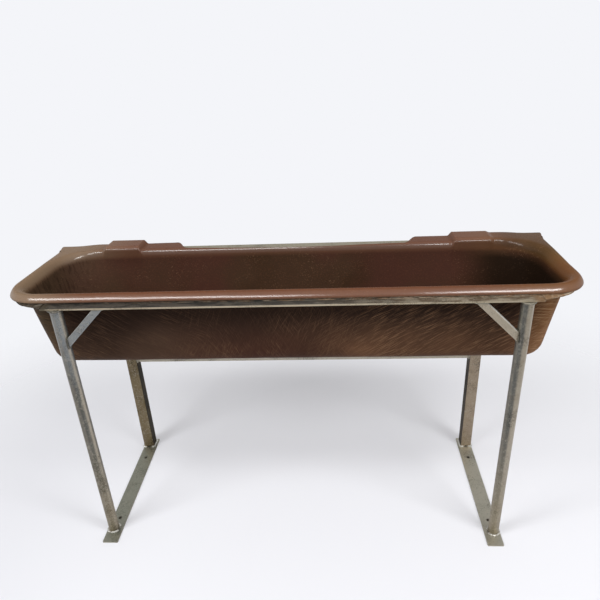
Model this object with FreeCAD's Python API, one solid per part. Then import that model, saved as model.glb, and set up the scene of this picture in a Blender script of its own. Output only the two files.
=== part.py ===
"""Free-standing livestock feeding trough: a moulded glass-fibre trough on a welded steel stand.

Millimetres, +Z up. The origin is the middle of the overall footprint, on the floor.
Shapes are drawn with Y = 0 at the front end of the foot bars and moved there on export.
The trough is drawn level in its own frame (v back from the front lip, w up from the rim
crest) and then leaned back until the lip and the rear flange touch the two rails.
"""
import FreeCAD
import Part
import math
import os

V = FreeCAD.Vector
os.makedirs("parts", exist_ok=True)

# Flat bar, tube and box sections of the stand
foot_bar_width = 50.0
foot_bar_thickness = 5.0
foot_bar_length = 510.0
foot_bar_offset = 4.0
anchor_hole_d = 12.0
anchor_hole_first_y = 100.0
anchor_hole_pitch = 300.0

leg_inset = 181.0
front_leg_d = 33.7
front_leg_wall = 2.6
front_leg_y = 55.0
rear_leg_size = 40.0
rear_leg_wall = 3.0
rear_leg_front_y = 462.0
vent_radius = 5.0

rail_width = 40.0
rail_thickness = 5.0
rail_top = 852.0
rail_end_inset = 28.0
front_rail_front_y = 42.0

brace_size = 20.0
brace_wall = 2.0
brace_reach = 122.0

stretcher_size = 30.0
stretcher_wall = 2.5
stretcher_bottom = 408.0

# Weld fillets
bead_leg = 5.0
bead_brace = 4.0
bead_flush = 1.2

# Moulded trough
shell = 5.0
trough_half_length = 813.0
lip_front_y = 69.0
crest_in_r = 30.0
crest_out_r = 18.0
lip_drop = 24.0
opening_back_v = 372.0
flange_narrow_v = 408.0
flange_wide_v = 463.0
flange_end_inset = 8.0
corner_r = 114.0
draft = math.radians(8.0)
basin_depth = 260.0
floor_r = 52.0
rolled_rim_end_v = 402.0
flange_corner_r = 12.0
wide_flange_length = 409.0
flange_step_run = 37.0
flange_step_r = 10.0

# Hook saddles on the rear flange
saddle_end_inset = 156.0
saddle_width = 143.0
saddle_in_slope = 14.0
saddle_out_slope = 21.0
saddle_rise = 13.0
saddle_proud = 6.0
saddle_down = 48.0
saddle_edge_r = 3.0

# Laminate tongues that bond the front corners to the ends of the front rail: how far out from
# the start of the corner and how far back from the front lip
tongue_thickness = 5.0
tongue_outer = ((-15.0, -20.0), (1.0, -13.0), (16.0, -7.5), (34.0, 1.0), (51.0, 13.0),
                (67.0, 30.0))
tongue_inner = ((53.0, 36.0), (29.0, 19.0), (5.0, 11.0))
tongue_back_margin = 4.0

# Derived
leg_x = trough_half_length - leg_inset
foot_bar_x = leg_x - foot_bar_offset
brace_rail_x = leg_x - brace_reach
rail_bottom = rail_top - rail_thickness
rear_leg_y = rear_leg_front_y + rear_leg_size / 2
back_in_r = crest_in_r - shell
back_out_r = crest_out_r - shell
rim_width = crest_in_r + crest_out_r
wall_x = trough_half_length - rim_width
wall_corner_r = corner_r - rim_width
corner_x = trough_half_length - corner_r
rail_half_length = corner_x - rail_end_inset
wide_from_x = trough_half_length - wide_flange_length
narrow_half_x = wide_from_x - flange_step_run
saddle_out_x = trough_half_length - saddle_end_inset
saddle_in_x = saddle_out_x - saddle_width
saddle_top_in_x = saddle_in_x + saddle_in_slope
saddle_top_out_x = saddle_out_x - saddle_out_slope
back_corner_v = opening_back_v - wall_corner_r
join_w = -crest_in_r + back_in_r * math.sin(draft)
gel_w = -crest_in_r + crest_in_r * math.sin(draft)
gel_s = crest_in_r - crest_in_r * math.cos(draft)
join_in_s = gel_s - (gel_w - join_w) * math.tan(draft)
join_out_s = crest_in_r - back_in_r * math.cos(draft)
rear_contact_v = rear_leg_front_y + rail_width - lip_front_y
lean = math.atan2(lip_drop - shell, rear_contact_v)
overall_back_y = (lip_front_y + flange_wide_v * math.cos(lean)
                  + (lip_drop + saddle_rise) * math.sin(lean))


def box(x0, x1, y0, y1, z0, z1):
    return Part.makeBox(x1 - x0, y1 - y0, z1 - z0, V(x0, y0, z0))


def rounded(points, z):
    """Closed wire through (x, y, radius) corners, straight between the rounded corners."""
    edges = []
    n = len(points)
    cut = []
    for i, (x, y, r) in enumerate(points):
        here = V(x, y, z)
        a = V(points[i - 1][0], points[i - 1][1], z) - here
        b = V(points[(i + 1) % n][0], points[(i + 1) % n][1], z) - here
        a.normalize()
        b.normalize()
        half = a.getAngle(b) / 2
        t = r / math.tan(half)
        mid = a + b
        mid.normalize()
        apex = here + mid * (r / math.sin(half) - r)
        cut.append((here + a * t, apex, here + b * t, r))
    for i in range(n):
        p, q, s, r = cut[i]
        if r > 0:
            edges.append(Part.Arc(p, q, s).toShape())
        nxt = cut[(i + 1) % n][0]
        if (nxt - s).Length > 1e-6:
            edges.append(Part.makeLine(s, nxt))
    return Part.Wire(edges)


def rectangle(x0, x1, y0, y1, r, z):
    return rounded([(x0, y0, r), (x1, y0, r), (x1, y1, r), (x0, y1, r)], z)


def prism(wire, height):
    return Part.Face(wire).extrude(V(0, 0, height))


def tube_square(size, wall, length, outer_r):
    """Square tube standing on Z = 0, centred on the origin."""
    h = size / 2
    outer = prism(rectangle(-h, h, -h, h, outer_r, 0), length)
    i = h - wall
    return outer.cut(prism(rectangle(-i, i, -i, i, max(outer_r - wall, 1.0), -1), length + 2))


def moved(shape, x, y, z):
    copy = shape.copy()
    copy.translate(V(x, y, z))
    return copy


def mirrored(shape):
    return shape.mirror(V(0, 0, 0), V(1, 0, 0))


def export(shape, name):
    moved(shape, 0, -overall_back_y / 2, 0).exportStep("parts/%s.step" % name)


def export_pair(right, name):
    export(right, name + "_right")
    export(mirrored(right), name + "_left")


def foot_bar():
    h = foot_bar_width / 2
    bar = prism(rectangle(foot_bar_x - h, foot_bar_x + h, 0, foot_bar_length, 2.0, 0),
                foot_bar_thickness)
    for i in range(2):
        y = anchor_hole_first_y + i * anchor_hole_pitch
        bar = bar.cut(Part.makeCylinder(anchor_hole_d / 2, foot_bar_thickness + 2,
                                        V(foot_bar_x, y, -1)))
    return bar


def front_leg_core():
    return Part.makeCylinder(front_leg_d / 2, rail_bottom - foot_bar_thickness,
                             V(leg_x, front_leg_y, foot_bar_thickness))


def front_leg():
    """Round tube with a half-round galvanising vent on the inner side of its foot."""
    bore = Part.makeCylinder(front_leg_d / 2 - front_leg_wall, rail_bottom,
                             V(leg_x, front_leg_y, 0))
    vent = Part.makeCylinder(vent_radius, front_leg_d,
                             V(leg_x, front_leg_y, foot_bar_thickness), V(-1, 0, 0))
    return front_leg_core().cut(bore).cut(vent)


def rear_leg_core():
    h = rear_leg_size / 2
    return prism(rectangle(leg_x - h, leg_x + h, rear_leg_y - h, rear_leg_y + h, 4.0,
                           foot_bar_thickness), rail_bottom - foot_bar_thickness)


def rear_leg():
    """Square tube with its vent in the middle of the front face."""
    tube = tube_square(rear_leg_size, rear_leg_wall, rail_bottom - foot_bar_thickness, 4.0)
    tube = moved(tube, leg_x, rear_leg_y, foot_bar_thickness)
    vent = Part.makeCylinder(vent_radius, rear_leg_size,
                             V(leg_x, rear_leg_y, foot_bar_thickness), V(0, -1, 0))
    return tube.cut(vent)


def rail(front_y):
    return prism(rectangle(-rail_half_length, rail_half_length, front_y, front_y + rail_width,
                           1.5, rail_bottom), rail_thickness)


def stretcher():
    reach = leg_x - rear_leg_size / 2
    bar = tube_square(stretcher_size, stretcher_wall, 2 * reach, 3.0)
    bar.rotate(V(0, 0, 0), V(0, 1, 0), 90)
    return moved(bar, -reach, rear_leg_y, stretcher_bottom + stretcher_size / 2)


def brace_line():
    """Start under the rail and unit direction of the right brace, 45 degrees down to the leg."""
    return V(brace_rail_x, front_leg_y, rail_bottom), V(1, 0, -1).normalize()


def brace_core(wall=0.0):
    """Square bar along the brace line, longer than needed at both ends."""
    start, way = brace_line()
    spare = 2 * brace_size
    length = brace_reach * math.sqrt(2) + 2 * spare
    h = brace_size / 2
    bar = prism(rectangle(-h, h, -h, h, 2.0, 0), length)
    if wall:
        i = h - wall
        bar = bar.cut(prism(rectangle(-i, i, -i, i, 1.0, -1), length + 2))
    bar.rotate(V(0, 0, 0), V(0, 1, 0), 135)
    begin = start - way * spare
    return moved(bar, begin.x, begin.y, begin.z)


def brace():
    """Square tube cut square under the rail and saddled on the leg."""
    near_y, far_y = front_leg_y - front_leg_d, front_leg_y + front_leg_d
    leg = Part.makeCylinder(front_leg_d / 2, rail_bottom, V(leg_x, front_leg_y, 0))
    beyond = box(leg_x, leg_x + 2 * brace_reach, near_y, far_y, 0, rail_bottom)
    above = box(0, 2 * leg_x, near_y, far_y, rail_bottom, rail_bottom + brace_reach)
    return brace_core(brace_wall).cut(leg.fuse(beyond)).cut(above)


def frustum(lower, upper, z0, z1):
    """Solid between two rounded rectangles given as (x0, x1, y0, y1, r)."""
    return Part.makeLoft([rectangle(*lower, z0), rectangle(*upper, z1)], True, True)


def bead_round(z0, up):
    """Fillet bead round the front leg, on the bar at z0 or hanging from the rail."""
    way = 1 if up else -1
    r = front_leg_d / 2
    a, b = V(r, 0, 0), V(r + bead_leg, 0, 0)
    c = V(r, 0, bead_leg * way)
    crown = V(r + bead_leg * 0.62, 0, bead_leg * 0.62 * way)
    face = Part.Face(Part.Wire([Part.makeLine(a, b), Part.Arc(b, crown, c).toShape(),
                                Part.makeLine(c, a)]))
    ring = face.revolve(V(0, 0, 0), V(0, 0, 1), 360)
    return moved(ring, leg_x, front_leg_y, z0)


def bead_square(cx, cy, size, corner, z0, up, bead, bead_y=None):
    """Fillet bead round a square tube: a tapered collar with the tube cut out of it."""
    h = size / 2
    way = 1 if up else -1
    by = bead_y or bead
    low = (cx - h - bead, cx + h + bead, cy - h - by, cy + h + by, corner + min(bead, by))
    top = (cx - h - 0.4, cx + h + 0.4, cy - h - 0.4, cy + h + 0.4, corner + 0.4)
    collar = frustum(low, top, z0, z0 + way * bead)
    core = prism(rectangle(cx - h, cx + h, cy - h, cy + h, corner, z0 - 20), 40)
    return collar.cut(core)


def weld_front_leg_base():
    """Bead round the foot of the front leg, stopped on both sides of the vent."""
    gap = box(leg_x - front_leg_d, leg_x, front_leg_y - vent_radius, front_leg_y + vent_radius,
              0, foot_bar_thickness + 2 * bead_leg)
    return bead_round(foot_bar_thickness, True).cut(gap)


def weld_rear_leg_base():
    """Bead round the foot of the rear leg, stopped on both sides of the vent."""
    gap = box(leg_x - vent_radius, leg_x + vent_radius, rear_leg_y - rear_leg_size, rear_leg_y,
              0, foot_bar_thickness + 2 * bead_leg)
    return bead_square(leg_x, rear_leg_y, rear_leg_size, 4.0, foot_bar_thickness, True,
                       bead_leg).cut(gap)


def weld_front_leg_top():
    return bead_round(rail_bottom, False)


def weld_rear_leg_top():
    """Bead under the rear rail, full at the sides, thin where rail and tube end flush."""
    return bead_square(leg_x, rear_leg_y, rear_leg_size, 4.0, rail_bottom, False, bead_leg,
                       bead_flush)


def weld_brace_top():
    """Bead round the slanted end of the brace where it meets the underside of the rail."""
    half = brace_size / math.sqrt(2)
    h = brace_size / 2
    x, y = brace_rail_x, front_leg_y
    low = (x - half - bead_brace, x + half + bead_brace, y - h - bead_brace, y + h + bead_brace,
           bead_brace)
    top = (x + bead_brace - half - 0.4, x + bead_brace + half + 0.4, y - h - 0.4, y + h + 0.4, 1.0)
    return frustum(low, top, rail_bottom, rail_bottom - bead_brace).cut(brace_core())


def weld_brace_foot():
    """Bead round the lower end of the brace, saddled on the leg tube."""
    half = brace_size / math.sqrt(2)
    h = brace_size / 2
    r = front_leg_d / 2
    x_in = leg_x - r + 2 * bead_brace
    z_in = rail_bottom - (x_in - brace_rail_x)
    x_out = leg_x - r - bead_brace
    z_out = rail_bottom - (x_out - brace_rail_x)
    wires = []
    for x, z, g in ((x_in, z_in, bead_brace), (x_out, z_out, 0.4)):
        pts = [V(x, front_leg_y - h - g, z - half - g), V(x, front_leg_y + h + g, z - half - g),
               V(x, front_leg_y + h + g, z + half + g), V(x, front_leg_y - h - g, z + half + g)]
        wires.append(Part.makePolygon(pts + [pts[0]]))
    block = Part.makeLoft(wires, True, True)
    return block.cut(front_leg_core()).cut(brace_core())


def weld_stretcher():
    """Bead round the end of the stretcher on the inner face of the rear leg."""
    ring = bead_square(0, 0, stretcher_size, 3.0, 0, True, bead_brace)
    ring.rotate(V(0, 0, 0), V(0, 1, 0), -90)
    return moved(ring, leg_x - rear_leg_size / 2, rear_leg_y,
                 stretcher_bottom + stretcher_size / 2)


def ring_rect(s, w, corner=None):
    """Rounded rectangle at offset s outward from the inner wall line, at height w."""
    x = wall_x + s
    return rectangle(-x, x, rim_width - s, opening_back_v + s, corner or wall_corner_r + s, w)


def wall_s(top_s, w):
    """Offset of a drafted wall face at height w, from its offset at the rim joint."""
    return top_s - (join_w - w) * math.tan(draft)


def basin_solid(s_top, w_bottom, edge_r):
    """Tapered basin with flat walls and one corner radius all the way down, floor edge rounded."""
    corner = wall_corner_r + s_top
    low = ring_rect(wall_s(s_top, w_bottom), w_bottom, corner)
    high = ring_rect(s_top, join_w, corner)
    faces = [Part.Face(low), Part.Face(high)]
    for under, over in zip(low.Edges, high.Edges):
        if isinstance(over.Curve, Part.Circle):
            faces.append(over.extrude(under.Curve.Center - over.Curve.Center))
        else:
            p, q = (v.Point for v in under.Vertexes)
            s, r = (v.Point for v in over.Vertexes)
            faces.append(Part.Face(Part.makePolygon([p, q, r, s, p])))
    skin = Part.makeShell(faces)
    skin.sewShape()
    body = Part.makeSolid(skin)
    floor = [e for e in body.Edges if max(abs(v.Point.z - w_bottom) for v in e.Vertexes) < 1e-4]
    return body.makeFillet(edge_r, floor)


def basin():
    outer = basin_solid(join_out_s, -basin_depth - shell, floor_r + shell)
    return outer.cut(basin_solid(join_in_s, -basin_depth, floor_r))


def crest_points():
    """Corner points of the rim section: s outward from the inner wall line, w up."""
    ci, co, bi, bo = crest_in_r, crest_out_r, back_in_r, back_out_r
    k = math.sin(math.radians(45))
    lip = rim_width - shell
    return {"join_in": (join_in_s, join_w), "gel": (gel_s, gel_w),
            "q_mid": (ci - ci * k, -ci + ci * k), "top": (ci, 0.0),
            "o_mid": (ci + co * k, -co + co * k), "side": (rim_width, -co),
            "lip_out": (rim_width, -lip_drop), "lip_in": (lip, -lip_drop), "in_side": (lip, -co),
            "i_mid": (ci + bo * k, -co + bo * k), "in_top": (ci, -shell),
            "in_mid": (ci - bi * k, -ci + bi * k), "join_out": (join_out_s, join_w)}


def section(kind, place):
    """Face of the rim section; place maps (s, w) into space. Kinds: rolled, inner, outer."""
    p = {k: place(*sw) for k, sw in crest_points().items()}

    def line(a, b):
        return Part.makeLine(p[a], p[b])

    def arc(a, m, b):
        return Part.Arc(p[a], p[m], p[b]).toShape()
    roll = [arc("top", "o_mid", "side"), line("side", "lip_out"), line("lip_out", "lip_in"),
            line("lip_in", "in_side"), arc("in_side", "i_mid", "in_top")]
    wall = [line("join_in", "gel"), arc("gel", "q_mid", "top")]
    back = [arc("in_top", "in_mid", "join_out"), line("join_out", "join_in")]
    if kind == "rolled":
        edges = wall + roll + back
    elif kind == "inner":
        edges = wall + [line("top", "in_top")] + back
    else:
        edges = roll + [line("in_top", "top")]
    return Part.Face(Part.Wire(edges))


def rim():
    """Rolled rim on the front and the ends, plain crest along the back."""
    across = V(2 * corner_x, 0, 0)
    pieces = [section("rolled", lambda s, w: V(-corner_x, rim_width - s, w)).extrude(across),
              section("inner", lambda s, w: V(-corner_x, opening_back_v + s, w)).extrude(across)]
    for side in (-1, 1):
        def at(v):
            return lambda s, w: V(side * (wall_x + s), v, w)
        pieces.append(section("rolled", at(corner_r)).extrude(
            V(0, back_corner_v - corner_r, 0)))
        pieces.append(section("outer", at(back_corner_v)).extrude(
            V(0, rolled_rim_end_v - back_corner_v, 0)))
        pieces.append(section("rolled", at(corner_r)).revolve(
            V(side * corner_x, corner_r, 0), V(0, 0, -side), 90))
        pieces.append(section("inner", at(back_corner_v)).revolve(
            V(side * corner_x, back_corner_v, 0), V(0, 0, side), 90))
    return pieces


def flange_plate():
    """Flat rear flange: wide at both ends, cut back in the middle."""
    end = trough_half_length - flange_end_inset
    near = wall_x + crest_in_r
    r = flange_corner_r
    right = [(near, back_corner_v, 0), (near, rolled_rim_end_v, 0), (end, rolled_rim_end_v, 0),
             (end, flange_wide_v, r), (wide_from_x, flange_wide_v, flange_step_r),
             (narrow_half_x, flange_narrow_v, flange_step_r)]
    left = [(-x, v, rr) for x, v, rr in reversed(right)]
    hole = prism(ring_rect(crest_in_r, -shell - 1), shell + 2)
    return prism(rounded(right + left, -shell), shell).cut(hole)


def saddle_block(t):
    """Raised saddle over a hanging hook; t is the skin left between this block and the outer."""
    rise = saddle_rise - t
    front = opening_back_v - saddle_proud + t
    foot = opening_back_v + wall_s(join_in_s, -saddle_down) + t
    back = flange_wide_v + (1 if t else 0)
    low_v = opening_back_v + (crest_in_r + 2 if t else 8)
    r = crest_in_r - t
    k = math.sin(math.radians(45)) * r
    under = -shell - t * 0.2
    pts = [V(0, low_v, -saddle_down), V(0, foot, -saddle_down), V(0, front, rise - r),
           V(0, front + r - k, rise - r + k), V(0, front + r, rise), V(0, back, rise),
           V(0, back, under), V(0, low_v, under)]
    edges = [Part.makeLine(pts[0], pts[1]), Part.makeLine(pts[1], pts[2]),
             Part.Arc(pts[2], pts[3], pts[4]).toShape()]
    edges += [Part.makeLine(pts[i], pts[(i + 1) % 8]) for i in range(4, 8)]
    body = Part.Face(Part.Wire(edges)).extrude(V(trough_half_length, 0, 0))
    a, b = saddle_in_x + t, saddle_out_x - t
    ta, tb = saddle_top_in_x + t, saddle_top_out_x - t
    e = saddle_edge_r
    low, top = -saddle_down - shell, rise + saddle_rise
    sides = rounded([(a, low, 0), (b, low, 0), (b, -1.0, e), (tb, rise, e), (tb, top, 0),
                     (ta, top, 0), (ta, rise, e), (a, -1.0, e)], 0)
    gate = Part.Face(sides).extrude(V(0, 0, -2 * flange_wide_v))
    gate.rotate(V(0, 0, 0), V(1, 0, 0), 90)
    return body.common(gate)


def trough():
    shape = basin().fuse(rim() + [flange_plate()])
    block, hollow = saddle_block(0), saddle_block(shell)
    for part, cut in ((block, hollow), (mirrored(block), mirrored(hollow))):
        shape = shape.fuse(part).cut(cut)
    return seat(shape.removeSplitter())


def seat(shape):
    """Lean a level trough-frame shape back and set its lip on the front rail."""
    copy = shape.copy()
    copy.rotate(V(0, 0, -lip_drop), V(1, 0, 0), -math.degrees(lean))
    return moved(copy, 0, lip_front_y, rail_top + lip_drop)


def corner_tongue():
    """Laminate tongue from the end of the front rail round under the lip of the corner."""
    start = V(rail_half_length, front_rail_front_y - lip_front_y, -lip_drop - tongue_thickness)
    z = start.z
    outer = [start] + [V(corner_x + x, v, z) for x, v in tongue_outer]
    inner = [V(corner_x + x, v, z) for x, v in tongue_inner]
    last = V(rail_half_length, start.y + rail_width - tongue_back_margin, z)
    front = Part.BSplineCurve()
    front.interpolate(outer)
    back = Part.BSplineCurve()
    back.interpolate(inner + [last])
    wire = Part.Wire([front.toShape(), Part.makeLine(outer[-1], inner[0]), back.toShape(),
                      Part.makeLine(last, start)])
    return seat(Part.Face(wire).extrude(V(0, 0, tongue_thickness)))


export(trough(), "trough_shell")
export_pair(corner_tongue(), "corner_bond")
export(rail(front_rail_front_y), "front_rail")
export(rail(rear_leg_front_y), "rear_rail")
export(stretcher(), "rear_stretcher")
for builder, node in ((foot_bar, "foot_bar"), (front_leg, "front_leg"), (rear_leg, "rear_leg"),
                      (brace, "brace"), (weld_front_leg_base, "weld_front_leg_base"),
                      (weld_rear_leg_base, "weld_rear_leg_base"),
                      (weld_front_leg_top, "weld_front_leg_top"),
                      (weld_rear_leg_top, "weld_rear_leg_top"),
                      (weld_brace_top, "weld_brace_top"), (weld_brace_foot, "weld_brace_foot"),
                      (weld_stretcher, "weld_stretcher")):
    export_pair(builder(), node)
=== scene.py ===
import math

import bmesh
import bpy
from mathutils import Euler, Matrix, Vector, noise


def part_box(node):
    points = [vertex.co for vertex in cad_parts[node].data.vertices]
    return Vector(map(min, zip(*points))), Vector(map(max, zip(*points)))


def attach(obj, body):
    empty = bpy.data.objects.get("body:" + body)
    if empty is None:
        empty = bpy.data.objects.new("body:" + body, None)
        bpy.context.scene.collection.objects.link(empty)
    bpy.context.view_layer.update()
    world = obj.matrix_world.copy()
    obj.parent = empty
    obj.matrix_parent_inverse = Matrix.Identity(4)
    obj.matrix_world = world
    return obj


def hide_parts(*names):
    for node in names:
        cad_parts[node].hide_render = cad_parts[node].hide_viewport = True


bl_info = {
    "name": "Feed and water trough on a stand",
    "version": (1, 0, 0),
    "blender": (4, 5, 0),
    "location": "View3D > Sidebar > Trough",
    "description": "Moulded glass-fibre trough with its galvanised stand, welds and studio",
    "category": "Object",
}

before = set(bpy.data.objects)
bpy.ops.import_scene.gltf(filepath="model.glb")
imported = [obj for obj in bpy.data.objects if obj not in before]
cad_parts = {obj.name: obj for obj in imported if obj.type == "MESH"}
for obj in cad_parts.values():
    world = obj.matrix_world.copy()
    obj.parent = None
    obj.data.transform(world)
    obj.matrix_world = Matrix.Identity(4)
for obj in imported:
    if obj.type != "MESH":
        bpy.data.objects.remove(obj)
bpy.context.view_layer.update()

SHELL_LOW, SHELL_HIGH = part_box("trough_shell")
RAIL_LOW, RAIL_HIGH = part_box("front_rail")
REAR_RAIL_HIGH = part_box("rear_rail")[1]
LEG_LOW, LEG_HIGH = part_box("front_leg_right")
REAR_LEG_LOW, REAR_LEG_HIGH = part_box("rear_leg_right")
STRETCHER_LOW, STRETCHER_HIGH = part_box("rear_stretcher")
FOOT_LOW, FOOT_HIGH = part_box("foot_bar_right")
BRACE_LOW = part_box("brace_right")[0]
SIDES = (("right", 1), ("left", -1))


# Sizes and colours that a user would change

def length(name, description, default):
    return bpy.props.FloatProperty(name=name, description=description, default=default,
                                   unit="LENGTH", precision=4)


def angle(name, description, degrees):
    return bpy.props.FloatProperty(name=name, description=description,
                                   default=math.radians(degrees), subtype="ANGLE")


def colour(name, description, default):
    return bpy.props.FloatVectorProperty(name=name, description=description, default=default,
                                         size=3, min=0.0, max=1.0, subtype="COLOR")


class TroughSizes(bpy.types.PropertyGroup):
    """Sizes of the moulding."""
    shell: length("Wall", "Thickness of the laminate", 0.005)
    rim: length("Rim width", "From the basin's wall to the outside of the lip", 0.048)
    crest: length("Crest radius", "Radius from basin wall to rim crest", 0.030)
    crest_back: length("Back crest run", "The same at the back wall", 0.013)
    crest_fall: length("Crest fall", "Height of the crest's curve over the wall", 0.030)
    roll_drop: length("Roll drop", "Height of the curved part of the roll", 0.0200)
    roll_slant: length("Roll slant", "How far the roll's top slants down to its nose", 0.0045)
    lip_edge: length("Lip edge", "Height of the raw edge that shows below the roll", 0.0024)
    back_shift: length("Back wall shift", "How far the back wall's top stands back", 0.015)
    back_fair: length("Back wall fairing", "Depth at which that shift has died away", 0.210)
    lip_drop: length("Lip drop", "Height of the rim crest over the lip's edge", 0.024)
    opening_back: length("Opening back", "From the lip's front to the back wall", 0.372)
    flange_narrow: length("Narrow flange", "From the lip's front to the narrow flange", 0.4008)
    flange_bow: length("Flange bow", "How far its middle stands forward", 0.0058)
    flange_wide: length("Wide flange", "From the lip's front to the wide flange", 0.463)
    flange_end_inset: length("Flange end inset", "Flange end inside the rolled end", 0.008)
    flange_flare: length("Flange flare", "How far the flange widens to its back corner", 0.0075)
    flange_corner: length("Flange corner", "Radius of the flange's back corners", 0.005)
    rolled_end: length("Rolled rim end", "Where the rolled ends stop", 0.402)
    wide_length: length("Wide flange length", "From the trough's end to the step", 0.409)
    step_run: length("Flange step", "Length of the slanted step", 0.037)
    corner: length("Corner radius", "Outer radius of the rim's corners", 0.114)
    back_radius: length("Back corner", "Radius of the basin's back corners", 0.105)
    draft: angle("Draft", "Slope of the basin walls", 8.0)
    depth: length("Basin depth", "From the rim crest to the floor", 0.260)
    floor_radius: length("Floor radius", "Radius between wall and floor", 0.052)
    saddle_inset: length("Saddle inset", "From the trough's end to a saddle", 0.162)
    saddle_width: length("Saddle width", "Width of a saddle at the flange", 0.137)
    saddle_in_slope: length("Inner flank", "Run of a saddle's inner flank", 0.014)
    saddle_out_slope: length("Outer flank", "Run of a saddle's outer flank", 0.015)
    warp: length("Warp", "How far the back right corner has lifted", 0.0080)
    skew: length("Skew", "How far the flange's back corners stand forward", 0.014)
    saddle_rise: length("Saddle rise", "Height of a saddle over the flange", 0.013)
    saddle_proud: length("Saddle proud", "How far a saddle stands into the basin", 0.003)
    saddle_crest: length("Saddle crest", "Radius of a saddle's front edge", 0.016)
    saddle_down: length("Saddle foot", "How far a saddle's face runs down the wall", 0.048)
    waviness: length("Waviness", "Deepest hollow of the hand-laid surface", 0.0016)


class StandSizes(bpy.types.PropertyGroup):
    """Sizes of welds and of the resin on the rail."""
    leg_bead: length("Leg bead", "Leg length of the fillet welds at the legs", 0.0052)
    brace_bead: length("Brace bead", "Leg length of the fillet welds at the braces", 0.0044)
    brace: length("Brace", "Side of the brace's square tube", 0.020)
    vent: length("Vent", "Radius of the zinc vents at the feet", 0.005)
    ripple: length("Ripple", "Distance between two ripples of a weld", 0.0042)
    resin: length("Resin bead", "Height of the resin squeezed out under the lip", 0.0022)
    tongue: length("Tongue", "Thickness of the corner laminate", 0.005)
    hole: length("Anchor hole", "Radius of the holes in the foot bars", 0.006)
    hole_front: length("First hole", "From the front of a foot bar to its first hole", 0.100)
    hole_pitch: length("Hole pitch", "Distance between the two holes of a foot bar", 0.300)
    # Height of the dark disc of painted shade in each hole
    soil: length("Soil", "Depth of the soil in the holes", 0.0022)


class FinishColours(bpy.types.PropertyGroup):
    """Colours of the finishes."""
    gelcoat: colour("Gelcoat", "Inside and rim of the trough", (0.050, 0.027, 0.016))
    # Also the painted shade under the lip's roll and on the front faces at the back
    gelcoat_dark: colour("Gelcoat shade", "Darker patches of the gelcoat", (0.036, 0.019, 0.010))
    gelcoat_red: colour("Gelcoat red", "Redder patches of the gelcoat", (0.060, 0.023, 0.017))
    gelcoat_worn: colour("Worn gelcoat", "Rubbed rim", (0.142, 0.053, 0.025))
    gelcoat_olive: colour("Olive gelcoat", "Left end of the moulding", (0.198, 0.139, 0.088))
    gelcoat_moss: colour("Mossy gelcoat", "Back right corner", (0.120, 0.080, 0.026))
    gelcoat_ochre: colour("Ochre gelcoat", "Right end of the moulding", (0.140, 0.062, 0.024))
    gelcoat_deep: colour("Deep gelcoat", "Shaded right end of the basin", (0.013, 0.008, 0.005))
    # Painted highlight on the saddle tops and back crest; on the roll's nose, polish and painted
    # highlight
    gelcoat_highlight_and_polish: colour("Polished gelcoat", "Nose, back crest, saddles", (0.330, 0.210, 0.165))
    laminate: colour("Laminate", "Outside of the basin", (0.074, 0.035, 0.022))
    # Also the painted shade on the upper outer wall, under the rim
    laminate_dark: colour("Wet laminate", "Resin-rich patches outside", (0.026, 0.015, 0.011))
    laminate_warm: colour("Warm laminate", "Right half of the outside", (0.215, 0.108, 0.057))
    laminate_olive: colour("Olive laminate", "Outside of the left end", (0.052, 0.042, 0.027))
    laminate_end: colour("End laminate", "Outside of the right end", (0.215, 0.100, 0.040))
    strand: colour("Glass strand", "Strands near the surface", (0.270, 0.150, 0.085))
    strand_pale: colour("Pale strand", "Strands outside the right end", (0.460, 0.290, 0.160))
    raw: colour("Raw laminate", "Trimmed edges and corner bonds", (0.190, 0.110, 0.055))
    zinc_slate: colour("Slate zinc", "Front legs above", (0.115, 0.116, 0.106))
    # Also a bluish painted highlight at the top of the left front leg
    zinc_blue: colour("Blue zinc", "Left brace and tops of the legs", (0.315, 0.345, 0.375))
    zinc_khaki: colour("Khaki zinc", "Front legs below", (0.262, 0.228, 0.160))
    # Also the painted highlight band of the front legs and the lit tone of the right brace
    zinc_cream: colour("Cream zinc", "Bands and rubbed edges", (0.500, 0.440, 0.350))
    # Left and right copies of the zinc, the right ones paler as painted light from the right
    zinc_olive: colour("Olive zinc", "Left rear leg", (0.185, 0.142, 0.080))
    zinc_warm: colour("Warm zinc", "Right rear leg", (0.345, 0.275, 0.205))
    zinc_green: colour("Green zinc", "Left foot bar", (0.335, 0.345, 0.290))
    zinc_pale: colour("Pale zinc", "Right foot bar", (0.520, 0.505, 0.430))
    # Painted shade on the top of the front rail, on the left
    zinc_top_shade: colour("Grime", "Top of the front rail, on the left", (0.030, 0.033, 0.036))
    zinc_dark: colour("Dull zinc", "Darker clouds and pits", (0.060, 0.056, 0.042))
    zinc_shade: colour("Shaded zinc", "Inner sides of the rear legs", (0.022, 0.018, 0.012))
    zinc_light: colour("Bright zinc", "Stretcher and paler marks", (0.520, 0.480, 0.400))
    # Also the painted light on the braces' upper sides
    zinc_silver: colour("Fresh zinc", "Welds", (0.780, 0.780, 0.740))
    # Painted highlight on the front edge of the rail
    zinc_edge_highlight: colour("Rubbed zinc", "Front edge of the rail", (0.600, 0.515, 0.390))
    zinc_moss: colour("Mossy zinc", "Rear rail", (0.325, 0.295, 0.215))
    # Dark discs of painted shade in the anchor holes, crumbly like soil
    soil: colour("Soil", "Dried soil in the anchor holes", (0.022, 0.018, 0.014))
    soil_crumb: colour("Soil crumbs", "Paler crumbs of the soil", (0.060, 0.050, 0.038))
    zinc_rust: colour("Stained zinc", "Tea stains on the zinc", (0.130, 0.090, 0.055))


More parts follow.
